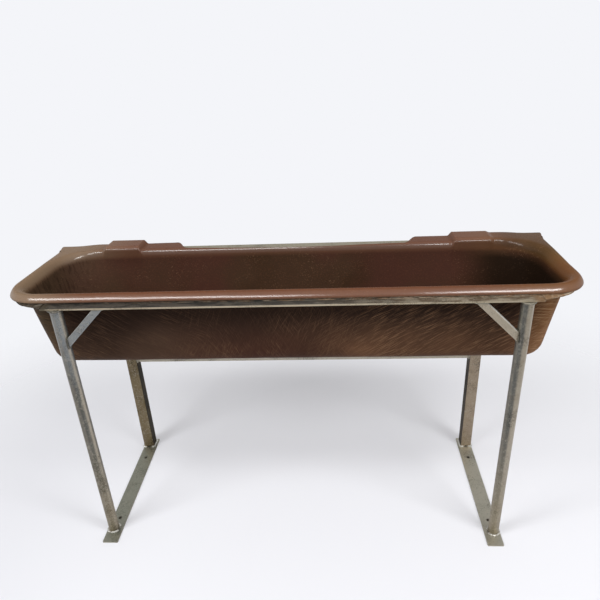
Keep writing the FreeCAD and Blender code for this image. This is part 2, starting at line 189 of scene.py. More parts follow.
class StudioSettings(bpy.types.PropertyGroup):
    """Camera, lamps and floor."""
    camera: bpy.props.FloatVectorProperty(
        name="Camera", description="Where the camera stands", size=3, subtype="TRANSLATION",
        default=(0.1331, -1.5242, 1.5092), unit="LENGTH")
    tilt: bpy.props.FloatVectorProperty(
        name="Camera turn", description="Camera rotation", size=3, subtype="EULER",
        default=(math.radians(63.685), math.radians(2.581), math.radians(2.793)))
    lens: bpy.props.FloatProperty(name="Lens", description="Focal length on a 36 mm sensor",
                                  default=33.256, unit="CAMERA")
    key: bpy.props.FloatProperty(name="Softboxes", description="Power of the left softbox",
                                 default=44.0, unit="POWER")
    ambient: bpy.props.FloatProperty(name="Ambient", description="Strength of the white room",
                                     default=0.52, min=0.0)
    backdrop: colour("Backdrop", "Pale studio background", (0.905, 0.913, 0.947))
    floor: colour("Floor", "Pale studio floor", (0.672, 0.677, 0.712))
    floor_shade: colour("Floor shade", "Left side of the floor", (0.600, 0.605, 0.640))
    glow: bpy.props.FloatProperty(name="Floor glow", description="Light from within the floor",
                                  default=0.29, min=0.0)


# Shader maths as plain expressions

class Value:
    """A socket of a material that plain arithmetic works on."""

    def __init__(self, finish, socket):
        self.finish = finish
        self.socket = socket

    def maths(self, operation, *inputs):
        return self.finish.node("ShaderNodeMath", {"operation": operation},
                                dict(enumerate(inputs)))

    def __add__(self, other):
        return self.maths("ADD", self, other)

    def __radd__(self, other):
        return self.maths("ADD", other, self)

    def __sub__(self, other):
        return self.maths("SUBTRACT", self, other)

    def __rsub__(self, other):
        return self.maths("SUBTRACT", other, self)

    def __mul__(self, other):
        return self.maths("MULTIPLY", self, other)

    def __rmul__(self, other):
        return self.maths("MULTIPLY", other, self)

    def __truediv__(self, other):
        return self.maths("DIVIDE", self, other)

    def __pow__(self, other):
        return self.maths("POWER", self, other)

    def size(self):
        return self.maths("ABSOLUTE", self)

    def clamped(self):
        return self.finish.node("ShaderNodeClamp", {}, {0: self})

    def step(self, low, high):
        """0 below low, 1 above high, smooth between."""
        return self.finish.node("ShaderNodeMapRange", {"interpolation_type": "SMOOTHSTEP"},
                                {0: self, 1: low, 2: high})


class Finish:
    """A material and the nodes that are added to it."""

    def __init__(self, name, tree=None):
        if not tree:
            self.material = bpy.data.materials.new(name)
            self.material.use_nodes = True
            tree = self.material.node_tree
        self.tree = tree
        self.tree.nodes.clear()
        self.place = self.node("ShaderNodeTexCoord", {}, {}, out="Object")

    def node(self, kind, settings, values, out=0):
        """Adds a node: its settings first, then the values or links of its sockets."""
        node = self.tree.nodes.new(kind)
        for key, setting in settings.items():
            if key == "stops":
                ramp = node.color_ramp
                while len(ramp.elements) < len(setting):
                    ramp.elements.new(0.5)
                for element, (position, tone) in zip(ramp.elements, setting):
                    element.position = position
                    element.color = (*tone, 1.0)
            else:
                setattr(node, key, setting)
        for key, value in values.items():
            if isinstance(value, Value):
                self.tree.links.new(value.socket, node.inputs[key])
            elif hasattr(value, "__len__") and len(node.inputs[key].default_value) == 4:
                node.inputs[key].default_value = (*value, 1.0)
            else:
                node.inputs[key].default_value = value
        return Value(self, node.outputs[out]) if node.outputs else None

    def axes(self, vector=None):
        """The three values of a vector, or of the place on the object."""
        parts = self.node("ShaderNodeSeparateXYZ", {}, {0: vector or self.place})
        return [Value(self, socket) for socket in parts.socket.node.outputs]

    def placed(self, vector=None, scale=(1, 1, 1), turn=(0, 0, 0), shift=(0, 0, 0)):
        """Coordinates turned first and scaled after, so that grain can run any way."""
        turned = self.node("ShaderNodeMapping", {},
                           {0: vector or self.place, "Rotation": turn, "Location": shift})
        return self.node("ShaderNodeVectorMath", {"operation": "MULTIPLY"},
                         {0: turned, 1: scale})

    def noise(self, scale, vector=None, detail=3.0, rough=0.55):
        return self.node("ShaderNodeTexNoise", {"noise_dimensions": "3D"},
                         {"Vector": vector or self.place, "Scale": scale, "Detail": detail,
                          "Roughness": rough})

    def warped(self, amount, scale, vector=None):
        """Coordinates pushed about by a slow noise."""
        push = self.node("ShaderNodeTexNoise", {"noise_dimensions": "3D"},
                         {"Vector": vector or self.place, "Scale": scale, "Detail": 1.5},
                         out="Color")
        centred = self.node("ShaderNodeVectorMath", {"operation": "SUBTRACT"},
                            {0: push, 1: (0.5, 0.5, 0.5)})
        return self.node("ShaderNodeVectorMath", {"operation": "MULTIPLY_ADD"},
                         {0: centred, 1: (amount, amount, amount), 2: vector or self.place})

    def flakes_of(self, scale, vector):
        """Flat flakes, each with a value of its own between 0 and 1."""
        tones = self.node("ShaderNodeTexVoronoi", {"feature": "F1"},
                          {"Vector": vector, "Scale": scale}, out="Color")
        return self.axes(tones)[0]

    def normals(self):
        """How far the surface faces +X, +Y and +Z."""
        return self.axes(self.node("ShaderNodeNewGeometry", {}, {}, out="Normal"))

    def mix(self, factor, a, b, blend="MIX"):
        """Colour a, turned into b by the factor."""
        return self.node("ShaderNodeMix", {"data_type": "RGBA", "blend_type": blend},
                         {0: factor, 6: a, 7: b}, out=2)

    def bump(self, height, distance, strength, under=None):
        """Relief of a height, over another relief where one lies under it."""
        values = {"Height": height, "Distance": distance, "Strength": strength}
        if under:
            values["Normal"] = under
        return self.node("ShaderNodeBump", {}, values)

    def surface(self, **values):
        """Ends the material with one surface shader; underscores stand for spaces."""
        named = {key.replace("_", " "): value for key, value in values.items()}
        shader = self.node("ShaderNodeBsdfPrincipled", {}, named)
        self.node("ShaderNodeOutputMaterial", {}, {0: shader})
        return self.material


def gelcoat_finish(colours, sizes):
    """Brown gelcoat, mottled and lightly scratched, rubbed paler and polished on the rim.
    Painted highlight on the nose, the back crest and the saddle tops; painted shade under the
    roll, on the front faces at the back and deep in the right end.
    """
    f = Finish("gelcoat")
    x, y, z = f.axes()
    facing = f.normals()[1] * -1.0
    # Height over the rim's crest, which leans back with the trough
    lean = (sizes.lip_drop - sizes.shell) / (REAR_RAIL_HIGH.y - SHELL_LOW.y)
    height = z + (y - SHELL_LOW.y) * lean - RAIL_HIGH.z - sizes.lip_drop
    rim = height.step(-0.034, -0.012)
    back = y.step(SHELL_LOW.y + 0.20, SHELL_LOW.y + 0.34)
    right_back = back * x.step(0.60, 0.72)

    # Patches and specks all over
    patches = f.noise(3.2, f.warped(0.25, 2.0), detail=4.0).step(0.40, 0.62)
    reds = f.noise(2.1, f.placed(shift=(3.1, 0.4, 1.7)), detail=3.0).step(0.44, 0.62)
    tone = f.mix(patches, colours.gelcoat, colours.gelcoat_dark)
    tone = f.mix(reds * 0.75, tone, colours.gelcoat_red)
    speck = f.noise(260.0, detail=3.0).step(0.50, 0.66)
    tone = f.mix(speck * 0.16, tone, colours.gelcoat_worn)

    # Rim, rubbed paler by use
    rubbed = rim * (0.70 + 0.30 * f.noise(9.0, f.placed(scale=(0.35, 1, 1)), detail=4.0))
    rubbed = rubbed * (1.0 - 0.22 * back)
    tone = f.mix(rubbed, tone, colours.gelcoat_worn)
    fleck = f.noise(110.0, detail=3.0).step(0.52, 0.70) * rim
    tone = f.mix(fleck * 0.16, tone, colours.gelcoat_dark)

    # Ends: olive on the left, ochre on the right, moss in the back right corner
    ends = (x + 0.05 * f.noise(5.0)).size().step(0.50, 0.74)
    ochre = f.mix(x.step(-0.5, 0.5), colours.gelcoat_olive, colours.gelcoat_ochre)
    tone = f.mix(ends * (0.13 + 0.72 * rim), tone, ochre)
    moss = x.step(0.68, 0.76) * rim * y.step(SHELL_LOW.y + 0.12, SHELL_LOW.y + 0.30)
    tone = f.mix(moss * 0.45, tone, colours.gelcoat_moss)
    tone = f.mix(right_back * rim * 0.60, tone, colours.gelcoat)

    # Painted shade deep in the right end, and stains that run down the left end
    deep = (x + 0.10 * f.noise(4.0)).step(0.55, 0.73) * (1.0 - height.step(-0.056, -0.024))
    tone = f.mix(deep * 0.92, tone, colours.gelcoat_deep)
    streaks = f.noise(120.0, f.placed(scale=(1, 1, 0.06)), detail=4.0).step(0.48, 0.66)
    stain = streaks * (1.0 - (x + 0.08 * f.noise(6.0)).step(-0.76, -0.60))
    tone = f.mix(stain * 0.60 * (1.0 - rim), tone, colours.gelcoat_deep)

    # Painted highlight on saddle tops and back crest, painted shade on front faces and under the
    # roll
    saddle_tops = height.step(0.003, 0.009)
    tone = f.mix(saddle_tops * 0.10, tone, colours.gelcoat_highlight_and_polish)
    tone = f.mix(back * rim * facing.step(0.70, 0.95) * 0.40, tone, colours.gelcoat_dark)
    tone = f.mix(back * rim * (1.0 - x.step(0.60, 0.70)) * 0.07, tone, colours.gelcoat_highlight_and_polish)
    under = (1.0 - height.step(-0.0240, -0.0150)) * facing.step(0.30, 0.80) * (1.0 - back)
    tone = f.mix(under * 0.55, tone, colours.gelcoat_dark)
    # Nose of the roll: rubbed paler, with a painted highlight on it
    nose = height.step(-0.0200, -0.0110) * (1.0 - height.step(-0.0060, 0.0010))
    nose = nose * facing.step(0.35, 0.80)
    tone = f.mix(nose * (0.10 - 0.10 * back), tone, colours.gelcoat_highlight_and_polish)

    # Fine scratches three ways
    lines = []
    for turn, scale in ((0.5, 260.0), (-0.7, 300.0), (1.35, 280.0)):
        grain = f.placed(f.warped(0.04, 4.0), scale=(0.025, 1.0, 1.0), turn=(0, turn, turn * 0.6))
        lines.append(f.noise(scale, grain, detail=1.0).step(0.66, 0.75))
    scratch = (lines[0] + lines[1] + lines[2]).clamped() * f.noise(6.0).step(0.42, 0.62)
    showing = (0.26 + 0.40 * right_back) * (1.0 - 0.8 * deep)
    tone = f.mix((scratch * showing).clamped(), tone, colours.strand)

    # Gloss, with an orange peel and slow waves in it
    rough = 0.16 + 0.12 * f.noise(7.0, detail=4.0) + 0.05 * speck + 0.04 * rubbed
    wave = f.noise(26.0, detail=2.0)
    peel = f.noise(240.0, detail=2.0)
    normal = f.bump(peel + 0.6 * scratch, 0.0005, 0.45, f.bump(wave, 0.0016, 0.35))
    polish = rim * facing.step(0.10, 0.60) * (1.0 + 0.08 * back - 0.70 * right_back)
    polish = polish * (1.0 - 0.45 * x.size().step(0.715, 0.790))
    by_saddle = x.size().step(0.50, 0.53) * (1.0 - x.size().step(0.655, 0.675))
    polish = polish * (1.0 - 0.45 * back * by_saddle)
    return f.surface(Base_Color=tone, Roughness=rough, Normal=normal, Specular_IOR_Level=0.01,
                     Coat_Weight=0.03 + 0.75 * polish, Coat_Roughness=0.19, Coat_IOR=1.62)


def strands(f, angles, width, reach, sharp, where=None, ends=False):
    """Short curved strokes along each angle in turn, in patches of their own; ends says
    that they lie on a wall across the trough."""
    squeeze = width / reach
    total = None
    for i, turn in enumerate(angles):
        bent = f.warped(0.045, 3.0 + 0.7 * i, f.placed(shift=(1.7 * i, 0.9 * i, 2.3 * i)))
        grain = f.placed(bent, scale=(squeeze, squeeze, 1.0),
                         turn=(turn, 0, 0) if ends else (0, turn, 0))
        stroke = f.noise(1.0 / width, grain, detail=1.5, rough=0.5).step(*sharp)
        patch = f.noise(4.0 + i, f.placed(shift=(5.0 * i, 2.0, 7.0)), detail=2.0)
        stroke = stroke * (0.25 + 0.75 * patch.step(0.42, 0.60))
        if where:
            stroke = stroke * where[i]
        total = stroke if total is None else total + stroke
    return total.clamped()


def laminate_finish(colours):
    """Back of the laminate: dark resin over a felt of chopped glass strands, with painted shade
    under the rim and painted light from the floor lower down.
    """
    f = Finish("laminate")
    x, _, z = f.axes()

    # Shares of the left, the centre, the right and the ends, with uneven bounds
    across = x + 0.25 * f.noise(2.5) - 0.125
    right = across.step(-0.15, 0.30)
    left = 1.0 - across.step(-0.45, -0.05)
    centre = 0.55 * (1.0 - right) * (1.0 - left) + 0.12
    ends = x.size().step(0.62, 0.76)

    # Painted shade under the rim, painted floor light lower down, patches of wet resin
    low = 1.0 - (z - SHELL_LOW.z + 0.10 * f.noise(3.0) - 0.05).step(0.02, 0.20)
    light = f.noise(2.6, f.warped(0.35, 1.8), detail=3.0).step(0.38, 0.64)
    lit = f.mix(right, colours.laminate, colours.laminate_warm)
    lit = f.mix(left * 0.12, lit, colours.zinc_khaki)
    tone = f.mix(low * (0.35 + 0.65 * light) * (1.0 - 0.60 * centre), colours.laminate_dark, lit)
    tone = f.mix(ends * 0.8, tone, f.mix(x.step(-0.1, 0.1), colours.laminate_olive,
                                         colours.laminate_end))
    tone = f.mix(centre * low * 0.8, tone, colours.gelcoat_red)

    # Felt of fine and bold strands on the long walls, wrapped strands on the end walls
    fine = strands(f, (0.62, -0.50, 1.05, -1.10), 0.0015, 0.040, (0.53, 0.68),
                   (right, left, centre, centre))
    bold = strands(f, (0.48, -0.62, 1.30), 0.0022, 0.065, (0.59, 0.70), (right, left, centre))
    wrapped = strands(f, (0.42, -0.55), 0.0019, 0.070, (0.54, 0.68), ends=True) * ends
    show = 0.14 + 0.26 * low + 0.26 * right + 0.20 * ends
    tone = f.mix((fine * show).clamped(), tone, colours.strand)
    tone = f.mix((bold * show).clamped(), tone, colours.strand)
    tone = f.mix(wrapped * 0.65, tone, f.mix(x.step(-0.1, 0.1), colours.raw,
                                             colours.strand_pale))
    tone = f.mix(f.noise(14.0, f.warped(0.05, 6.0)).step(0.50, 0.68) * ends * 0.40, tone,
                 colours.laminate_dark)

    # Wet shine where the resin is dark, lumps under the strands
    wet = 1.0 - light
    rough = 0.42 + 0.20 * f.noise(11.0, detail=3.0) - 0.10 * wet
    lumps = f.noise(34.0, detail=3.0)
    normal = f.bump(fine + 0.8 * bold, 0.0006, 0.7, f.bump(lumps, 0.0020, 0.5))
    return f.surface(Base_Color=tone, Roughness=rough, Normal=normal, Specular_IOR_Level=0.015)


def raw_finish(colours):
    """Trimmed or hand-laid laminate: pale fibres set in brown resin."""
    f = Finish("raw_laminate")
    x = f.axes()[0]
    # Olive on the left, warm on the right, with pale fibres and resin lumps
    warm = x.step(-0.60, 0.60)
    base = f.mix(warm, f.mix(0.5, colours.laminate_olive, colours.laminate_dark), colours.raw)
    fibres = strands(f, (0.10, -0.25, 0.60), 0.0016, 0.030, (0.50, 0.66))
    lumps = f.noise(90.0, detail=4.0)
    tone = f.mix(fibres * (0.15 + 0.35 * warm), base, colours.zinc_cream)
    tone = f.mix(lumps.step(0.55, 0.75) * 0.6, tone, colours.laminate_dark)
    tone = f.mix(f.noise(38.0, detail=3.0).step(0.58, 0.70) * 0.15, tone, colours.zinc_light)
    # Bare fibres at the far left end
    pale = 1.0 - (x + 0.02 * lumps).step(-0.800, -0.760)
    tone = f.mix(pale * 0.55, tone, colours.zinc_cream)
    normal = f.bump(fibres + lumps, 0.0010, 0.8)
    return f.surface(Base_Color=tone, Roughness=0.55 + 0.2 * lumps, Normal=normal,
                     Specular_IOR_Level=0.2)


class Zinc(Finish):
    """Hot-dip zinc: cloudy, run marks along the bar, pits, flakes and a few tea stains."""

    def __init__(self, name, colours, along):
        super().__init__(name)
        self.colours = colours
        self.x, _, self.z = self.axes()
        self.facing = dict(zip("xyz", self.normals()))
        squeezed = [1.0, 1.0, 1.0]
        squeezed["xyz".index(along)] = 0.10
        self.runs = self.noise(150.0, self.placed(self.warped(0.012, 18.0), scale=squeezed),
                               detail=4.0, rough=0.6)
        self.grain = self.noise(330.0, self.warped(0.004, 60.0), detail=3.0, rough=0.65)
        self.cloud = self.noise(11.0, self.warped(0.06, 9.0), detail=5.0, rough=0.62)
        self.flakes = self.flakes_of(170.0, self.warped(0.010, 90.0))

    def band(self, across, *stops):
        """Painted light and shade that run round a tube by the way its surface faces; across is
        the level way from its left to its right.
        """
        u = 0.5 + 0.5 * (self.facing["x"] * across[0] + self.facing["y"] * across[1])
        wobble = 0.05 * (self.cloud - 0.5)
        ramp = self.node("ShaderNodeValToRGB",
                         {"stops": [(at, (tone, tone, tone)) for at, tone in stops]},
                         {0: u + wobble}, out="Color")
        return self.axes(ramp)[0]

    def skin(self, tone, rust=0.3, metal=0.75, bright=1.0, gloss=0.5):
        """Weathers a tone and ends the material; bright scales its paler marks."""
        colours = self.colours
        light = (self.grain * 0.6 + self.runs * 0.4).step(0.50, 0.66)
        dark = (self.grain * 0.5 + self.cloud * 0.5).step(0.34, 0.50)
        tone = self.mix(0.70 * (1.0 - dark), tone, colours.zinc_dark, "MULTIPLY")
        tone = self.mix(light * 0.27 * bright, tone, colours.zinc_light)
        tone = self.mix(self.flakes.step(0.70, 1.0) * 0.24 * bright, tone, colours.zinc_light)
        pits = self.noise(160.0, detail=3.0).step(0.60, 0.72)
        tone = self.mix(pits * 0.35, tone, colours.zinc_dark)
        stain = self.noise(24.0, self.placed(shift=(4.0, 1.0, 9.0)), detail=5.0).step(0.50, 0.66)
        tone = self.mix(stain * rust, tone, colours.zinc_rust)
        rough = 0.38 + 0.14 * (1.0 - dark) + 0.10 * self.flakes
        lumps = self.noise(70.0, detail=3.0)
        normal = self.bump(pits * -1.0 + 0.5 * self.runs, 0.0005, 0.6,
                           self.bump(lumps, 0.0008, 0.4))
        return self.surface(Base_Color=tone, Metallic=metal + 0.15 * dark, Roughness=rough,
                            Normal=normal, Specular_IOR_Level=gloss)


def front_leg_zinc(colours, side, way):
    """Round legs: slate above and khaki below, with painted highlight and shade bands down them
    and a bluish painted highlight at the top of the left one.
    """
    f = Zinc("zinc_front_leg_" + side, colours, "z")
    across = (0.92, -0.38) if way > 0 else (0.83, 0.55)
    edge = 0.75 if way > 0 else 0.12
    # Painted highlight and shade round the leg, brightest down one side
    pale = f.band(across, (0.0, 0.45), (0.08, 0.16), (0.20, 0.24), (0.36, 0.0), (0.55, 0.06),
                  (0.66, 0.62), (0.76, 0.78), (0.88, edge), (1.0, edge + 0.1))
    high = (f.z + 0.10 * f.cloud).step(0.08, 0.52)
    tone = f.mix(high, colours.zinc_khaki, colours.zinc_slate)
    if way < 0:
        # Bluish painted highlight at the top of the left leg
        tone = f.mix(f.z.step(0.52, 0.80) * 0.75, tone, colours.zinc_blue)
    tone = f.mix(pale * (0.35 + 0.65 * high), tone, colours.zinc_cream)
    return f.skin(tone, 0.15)


def inner_side(f, way):
    """1 on the side that faces the other end of the stand."""
    return (f.facing["x"] * -way).step(0.55, 0.90)


def rear_leg_zinc(colours, side, way):
    """Square legs: warm on the right and olive on the left as painted light from the right, their
    inner sides nearly black as painted shade.
    """
    f = Zinc("zinc_rear_leg_" + side, colours, "z")
    tone = f.mix(0.25 * f.cloud, colours.zinc_warm if way > 0 else colours.zinc_olive,
                 colours.zinc_khaki)
    inner = inner_side(f, way)
    return f.skin(f.mix(inner * 0.96, tone, colours.zinc_shade), 0.25, 0.75 - 0.75 * inner,
                  1.0 - 0.95 * inner, 0.02)


def foot_zinc(colours, side, way):
    """Foot bars: pale on the right and greenish on the left as painted light from the right, with
    khaki edges.
    """
    f = Zinc("zinc_foot_" + side, colours, "y")
    tone = f.mix(0.10 * f.cloud, colours.zinc_pale if way > 0 else colours.zinc_green,
                 colours.zinc_khaki)
    edge = (f.facing["x"].size() + f.facing["y"].size()).step(0.5, 0.9)
    return f.skin(f.mix(edge * 0.5, tone, colours.zinc_khaki), 0.06)


def brace_zinc(colours, side, way):
    """Braces: cream on the right and blue on the left as painted light from the right, their upper
    sides brighter as painted light.
    """
    f = Zinc("zinc_brace_" + side, colours, "x")
    tone = f.mix(0.3 * f.cloud, colours.zinc_cream if way > 0 else colours.zinc_blue,
                 colours.zinc_khaki)
    painted_light_top = f.facing["z"].step(0.3, 0.6)
    tone = f.mix(painted_light_top * (0.95 if way > 0 else 0.50), tone, colours.zinc_silver)
    return f.skin(tone, 0.08, 0.65 - 0.50 * painted_light_top)


def rail_zinc(colours):
    """Front rail: front edge pale as a painted highlight, top in painted shade under the lip,
    darkest on the left and stained on the right, and ends in the laminate's colour, partly as
    painted shade."""
    f = Zinc("zinc_rail", colours, "x")
    up = f.facing["z"].step(0.6, 0.9)
    mottle = f.noise(70.0, f.placed(scale=(0.35, 1, 1)), detail=4.0).step(0.42, 0.60)
    stained = f.mix(0.8 * mottle, colours.zinc_rust,
                    f.mix(0.55, colours.zinc_cream, colours.zinc_khaki))
    right = f.x.step(-0.05, 0.50)
    front = f.x.step(-0.30, 0.25)
    top_shade = f.mix(right, colours.zinc_top_shade, stained)
    top_shade = f.mix((1.0 - right) * mottle * 0.16, top_shade, colours.zinc_cream)
    tone = f.mix(0.35 * f.cloud + 0.35 * right, colours.zinc_edge_highlight, colours.zinc_khaki)
    # Painted shade on the rail's top under the lip
    tone = f.mix(up * (0.90 + 0.08 * f.cloud), tone, top_shade)
    # Ends coloured like the corner laminate over them, darkened partly as painted shade
    stub = f.x.size().step(LEG_HIGH.x - 0.010, RAIL_HIGH.x - 0.012)
    ending = f.mix(f.x.step(-0.1, 0.1), colours.laminate_olive, colours.raw)
    tone = f.mix(stub * 0.9, tone, ending)
    return f.skin(tone, 0.12, (0.58 - 0.26 * front) * (1.0 - stub), 0.15 + 0.65 * right, 0.15)


def rear_bar_zinc(colours, name, tone):
    """Rear rail and stretcher, in a tone of their own."""
    f = Zinc(name, colours, "x")
    return f.skin(f.mix(0.35 * f.cloud, tone, colours.zinc_khaki), 0.10, 0.45)


def weld_zinc(colours):
    """Beads: bright at the feet, dull slate at the rails."""
    f = Zinc("zinc_weld", colours, "y")
    bright = f.grain.step(0.38, 0.52) * (1.0 - 0.85 * f.z.step(0.10, 0.50))
    tone = f.mix(bright, colours.zinc_khaki, colours.zinc_silver)
    tone = f.mix(f.z.step(0.45, 0.65) * (0.75 - 0.35 * f.x.step(-0.1, 0.1)), tone,
                 colours.zinc_slate)
    return f.skin(tone, 0.04)


def shade_disc_finish(colours):
    """Painted shade for the anchor holes, crumbly like dry soil with paler crumbs."""
    f = Finish("soil")
    crumbs = f.noise(900.0, detail=3.0)
    tone = f.mix(crumbs.step(0.40, 0.62), colours.soil, colours.soil_crumb)
    return f.surface(Base_Color=tone, Roughness=0.92 - 0.1 * crumbs,
                     Normal=f.bump(crumbs, 0.0006, 0.8))


# Mesh helpers

def new_piece(name, bm, *materials):
    """Turns a bmesh into a smooth-shaded piece that rides on the stand."""
    mesh = bpy.data.meshes.new(name)
    bmesh.ops.recalc_face_normals(bm, faces=bm.faces)
    bm.to_mesh(mesh)
    bm.free()
    piece = bpy.data.objects.new(name, mesh)
    bpy.context.scene.collection.objects.link(piece)
    for material in materials:
        mesh.materials.append(material)
    mesh.polygons.foreach_set("use_smooth", [True] * len(mesh.polygons))
    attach(piece, "root")
    return piece


def wander(seed, *place, scale=1.0):
    """Steady noise between -1 and 1 at a place."""
    return noise.noise(Vector(place) * scale + Vector((seed * 7.13, seed * 3.71, seed * 5.19)))


def smooth(t):
    """From 0 to 1, level at both ends."""
    t = min(1.0, max(0.0, t))
    return t * t * (3 - 2 * t)


def blend(a, b, t):
    """Value at share t between a and b."""
    return a + (b - a) * t


def spread(low, high, parts):
    """Even values from low to high, with both."""
    return [low + (high - low) * i / parts for i in range(parts + 1)]


def bridge(bm, rings, closed=False):
    """Joins each ring of vertices to the next; an open run is capped at both ends."""
    count = len(rings[0])
    for ring, after in zip(rings, rings[1:] + rings[:1] if closed else rings[1:]):
        for j in range(count):
            k = (j + 1) % count
            bm.faces.new((ring[j], after[j], after[k], ring[k]))
    if not closed:
        bm.faces.new(rings[0])
        bm.faces.new(rings[-1][::-1])


def dress(node, material):
    """Gives a carried-over CAD node its finish."""
    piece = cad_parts[node]
    piece.data.materials.clear()
    piece.data.materials.append(material)


# Small sizes of the moulding, in metres: rings of the basin's floor, counted from where its
# curve starts, least corner of the floor, ends of a saddle's face and of its rise, the
# softness of the flange's step and the run over which the sprung corner lifts

FLOOR_RINGS = (0.042, 0.015)
LEAST_CORNER = 0.012
FACE_LEAD, FACE_LEAD_RUN = 0.006, 0.014
FACE_LAG, FACE_LAG_RUN = 0.001, 0.012
RISE_LEAD = 0.002
STEP_SOFTNESS = 0.004
SPRING_RUN = 0.020

# Steps of the mesh across the flange and round the roll

ACROSS_PARTS = 4
ROLL_PARTS = 9


class Moulding:
    """Sections and plan of the trough in its own level frame, then leaned onto the rails."""

    def __init__(self, sizes):
        self.sizes = sizes
        self.half = SHELL_HIGH.x
        self.rim = sizes.rim
        self.lean = math.atan2(sizes.lip_drop - sizes.shell, REAR_RAIL_HIGH.y - SHELL_LOW.y)
        self.wall_x = self.half - self.rim
        self.wall_r = sizes.corner - self.rim
        self.corner_x = self.half - sizes.corner
        self.back_x = self.wall_x - sizes.back_radius
        self.back_corner = sizes.opening_back - sizes.back_radius
        self.flange_x = self.half - sizes.flange_end_inset
        self.wide_x = self.half - sizes.wide_length
        self.narrow_x = self.wide_x - sizes.step_run
        self.saddle_out = self.half - sizes.saddle_inset
        self.saddle_in = self.saddle_out - sizes.saddle_width
        self.nip = sizes.shell * 0.32

    def joint(self, bend, skin):
        """(offset, height, angle) where a drafted wall meets the crest's curve."""
        run, fall = bend
        a = math.atan2((fall - skin) * math.tan(self.sizes.draft), run - skin)
        return run - (run - skin) * math.cos(a), -fall + (fall - skin) * math.sin(a), a

    def seat(self, x, v, w):
        """World place of a point x along, v back from the lip and w over the rim crest."""
        c, s = math.cos(self.lean), math.sin(self.lean)
        up = w + self.sizes.lip_drop
        return Vector((x, SHELL_LOW.y + v * c + up * s, RAIL_HIGH.z - v * s + up * c))

    def wall(self, top, w):
        return top[0] - (top[1] - w) * math.tan(self.sizes.draft)

    def basin(self, top, depth, radius):
        """(offset, height, how far the corner centre has moved in) from the floor upwards."""
        sizes = self.sizes
        corner = self.wall_r + top[0]
        centre_w = -depth + radius
        centre_s = self.wall(top, centre_w) - radius / math.cos(sizes.draft)
        points = [(centre_s - inside, -depth) for inside in FLOOR_RINGS]
        for a in spread(-math.pi / 2, -sizes.draft, 7):
            points.append((centre_s + radius * math.cos(a), centre_w + radius * math.sin(a)))
        turn_s, turn_w = points[-1]
        rows = []
        for s, w in points:
            r = max(corner - (turn_s - s), LEAST_CORNER)
            rows.append((s, w, r - self.wall_r - s))
        for w in spread(turn_w, -sizes.saddle_down, 7)[1:]:
            s = self.wall(top, w)
            rows.append((s, w, top[0] - s))
        return rows

    def crest(self, top, skin, push, rise, bend, reach):
        """The same from the saddle's foot to the rim crest; skin is 0 above, the wall below."""
        sizes = self.sizes
        (run, fall), sharp = bend, sizes.saddle_crest - skin
        foot = self.wall(top, -sizes.saddle_down)
        front = sizes.saddle_crest - sizes.saddle_proud
        level = sizes.saddle_rise - sizes.saddle_crest
        rows = []
        for t in spread(0, 1, 4)[1:]:
            w = blend(-sizes.saddle_down, top[1], t)
            s = self.wall(top, w)
            rows.append((blend(s, blend(foot, front - sharp, smooth(t)), push),
                         blend(w, blend(-sizes.saddle_down, level, t), rise), top[0] - s))
        for t in spread(0, 1, 12)[1:]:
            a, b = blend(top[2], reach, t), math.pi / 2 * t
            rows.append((blend(run - (run - skin) * math.cos(a), front - sharp * math.cos(b),
                               push),
                         blend((fall - skin) * math.sin(a) - fall, level + sharp * math.sin(b),
                               rise), 0.0))
        return rows

    def saddle(self, x):
        """How far a saddle has pushed forward and risen at x, each from 0 to 1."""
        sizes, x = self.sizes, abs(x)
        push = smooth((x - self.saddle_in + FACE_LEAD) / FACE_LEAD_RUN)
        push *= smooth((self.saddle_out - FACE_LAG - x) / FACE_LAG_RUN)
        rise = smooth((x - self.saddle_in + RISE_LEAD) / sizes.saddle_in_slope)
        rise *= smooth((self.saddle_out - x) / sizes.saddle_out_slope)
        return push, rise

    def edge(self, rolled):
        """(way out, height) from the top of the rim's edge, round it, to its underside."""
        sizes = self.sizes
        quarter = spread(0, math.pi / 2, ROLL_PARTS)[1:]
        back = spread(math.pi / 2, 0, 5)
        if rolled:
            # Roll, the raw edge set back below it, and the step up to the underside
            outer = sizes.rim - sizes.crest
            inner = outer - sizes.shell
            raw, gap = outer - sizes.shell * 0.24, outer - sizes.shell * 0.85
            low = -sizes.roll_drop - sizes.lip_edge
            run = [(outer * math.sin(a), sizes.roll_drop * (math.cos(a) - 1)
                    - sizes.roll_slant * math.sin(2 * a) * math.sin(a)) for a in quarter]
            run += [(raw, -sizes.roll_drop - sizes.shell * 0.08), (raw, low),
                    (gap, low - sizes.shell * 0.05), (gap, -sizes.lip_drop),
                    (inner, -sizes.lip_drop)]
            hollow = sizes.roll_drop - sizes.shell
            return run + [(inner * math.sin(a), hollow * math.cos(a) - sizes.roll_drop)
                          for a in back]
        # Trimmed edge of the flange; its repeated points match those of a rolled edge
        nip = self.nip
        run = [(nip * math.sin(a), nip * (math.cos(a) - 1)) for a in quarter]
        run += [(nip, -sizes.shell * 0.45)] * 2 + [(nip, -sizes.shell * 0.6)] * 3
        return run + [(nip * math.sin(a), nip - sizes.shell - nip * math.cos(a)) for a in back]

    def station(self, plan, rolled, rim_point, out, x=None, back=0.0, reach=math.pi / 2):
        """Points from the basin floor, over the rim and back under it to the outer floor;
        reach is the angle at which the crest's curve is cut off."""
        sizes = self.sizes
        bend = blend(sizes.crest, sizes.crest_back, back ** 2), sizes.crest_fall

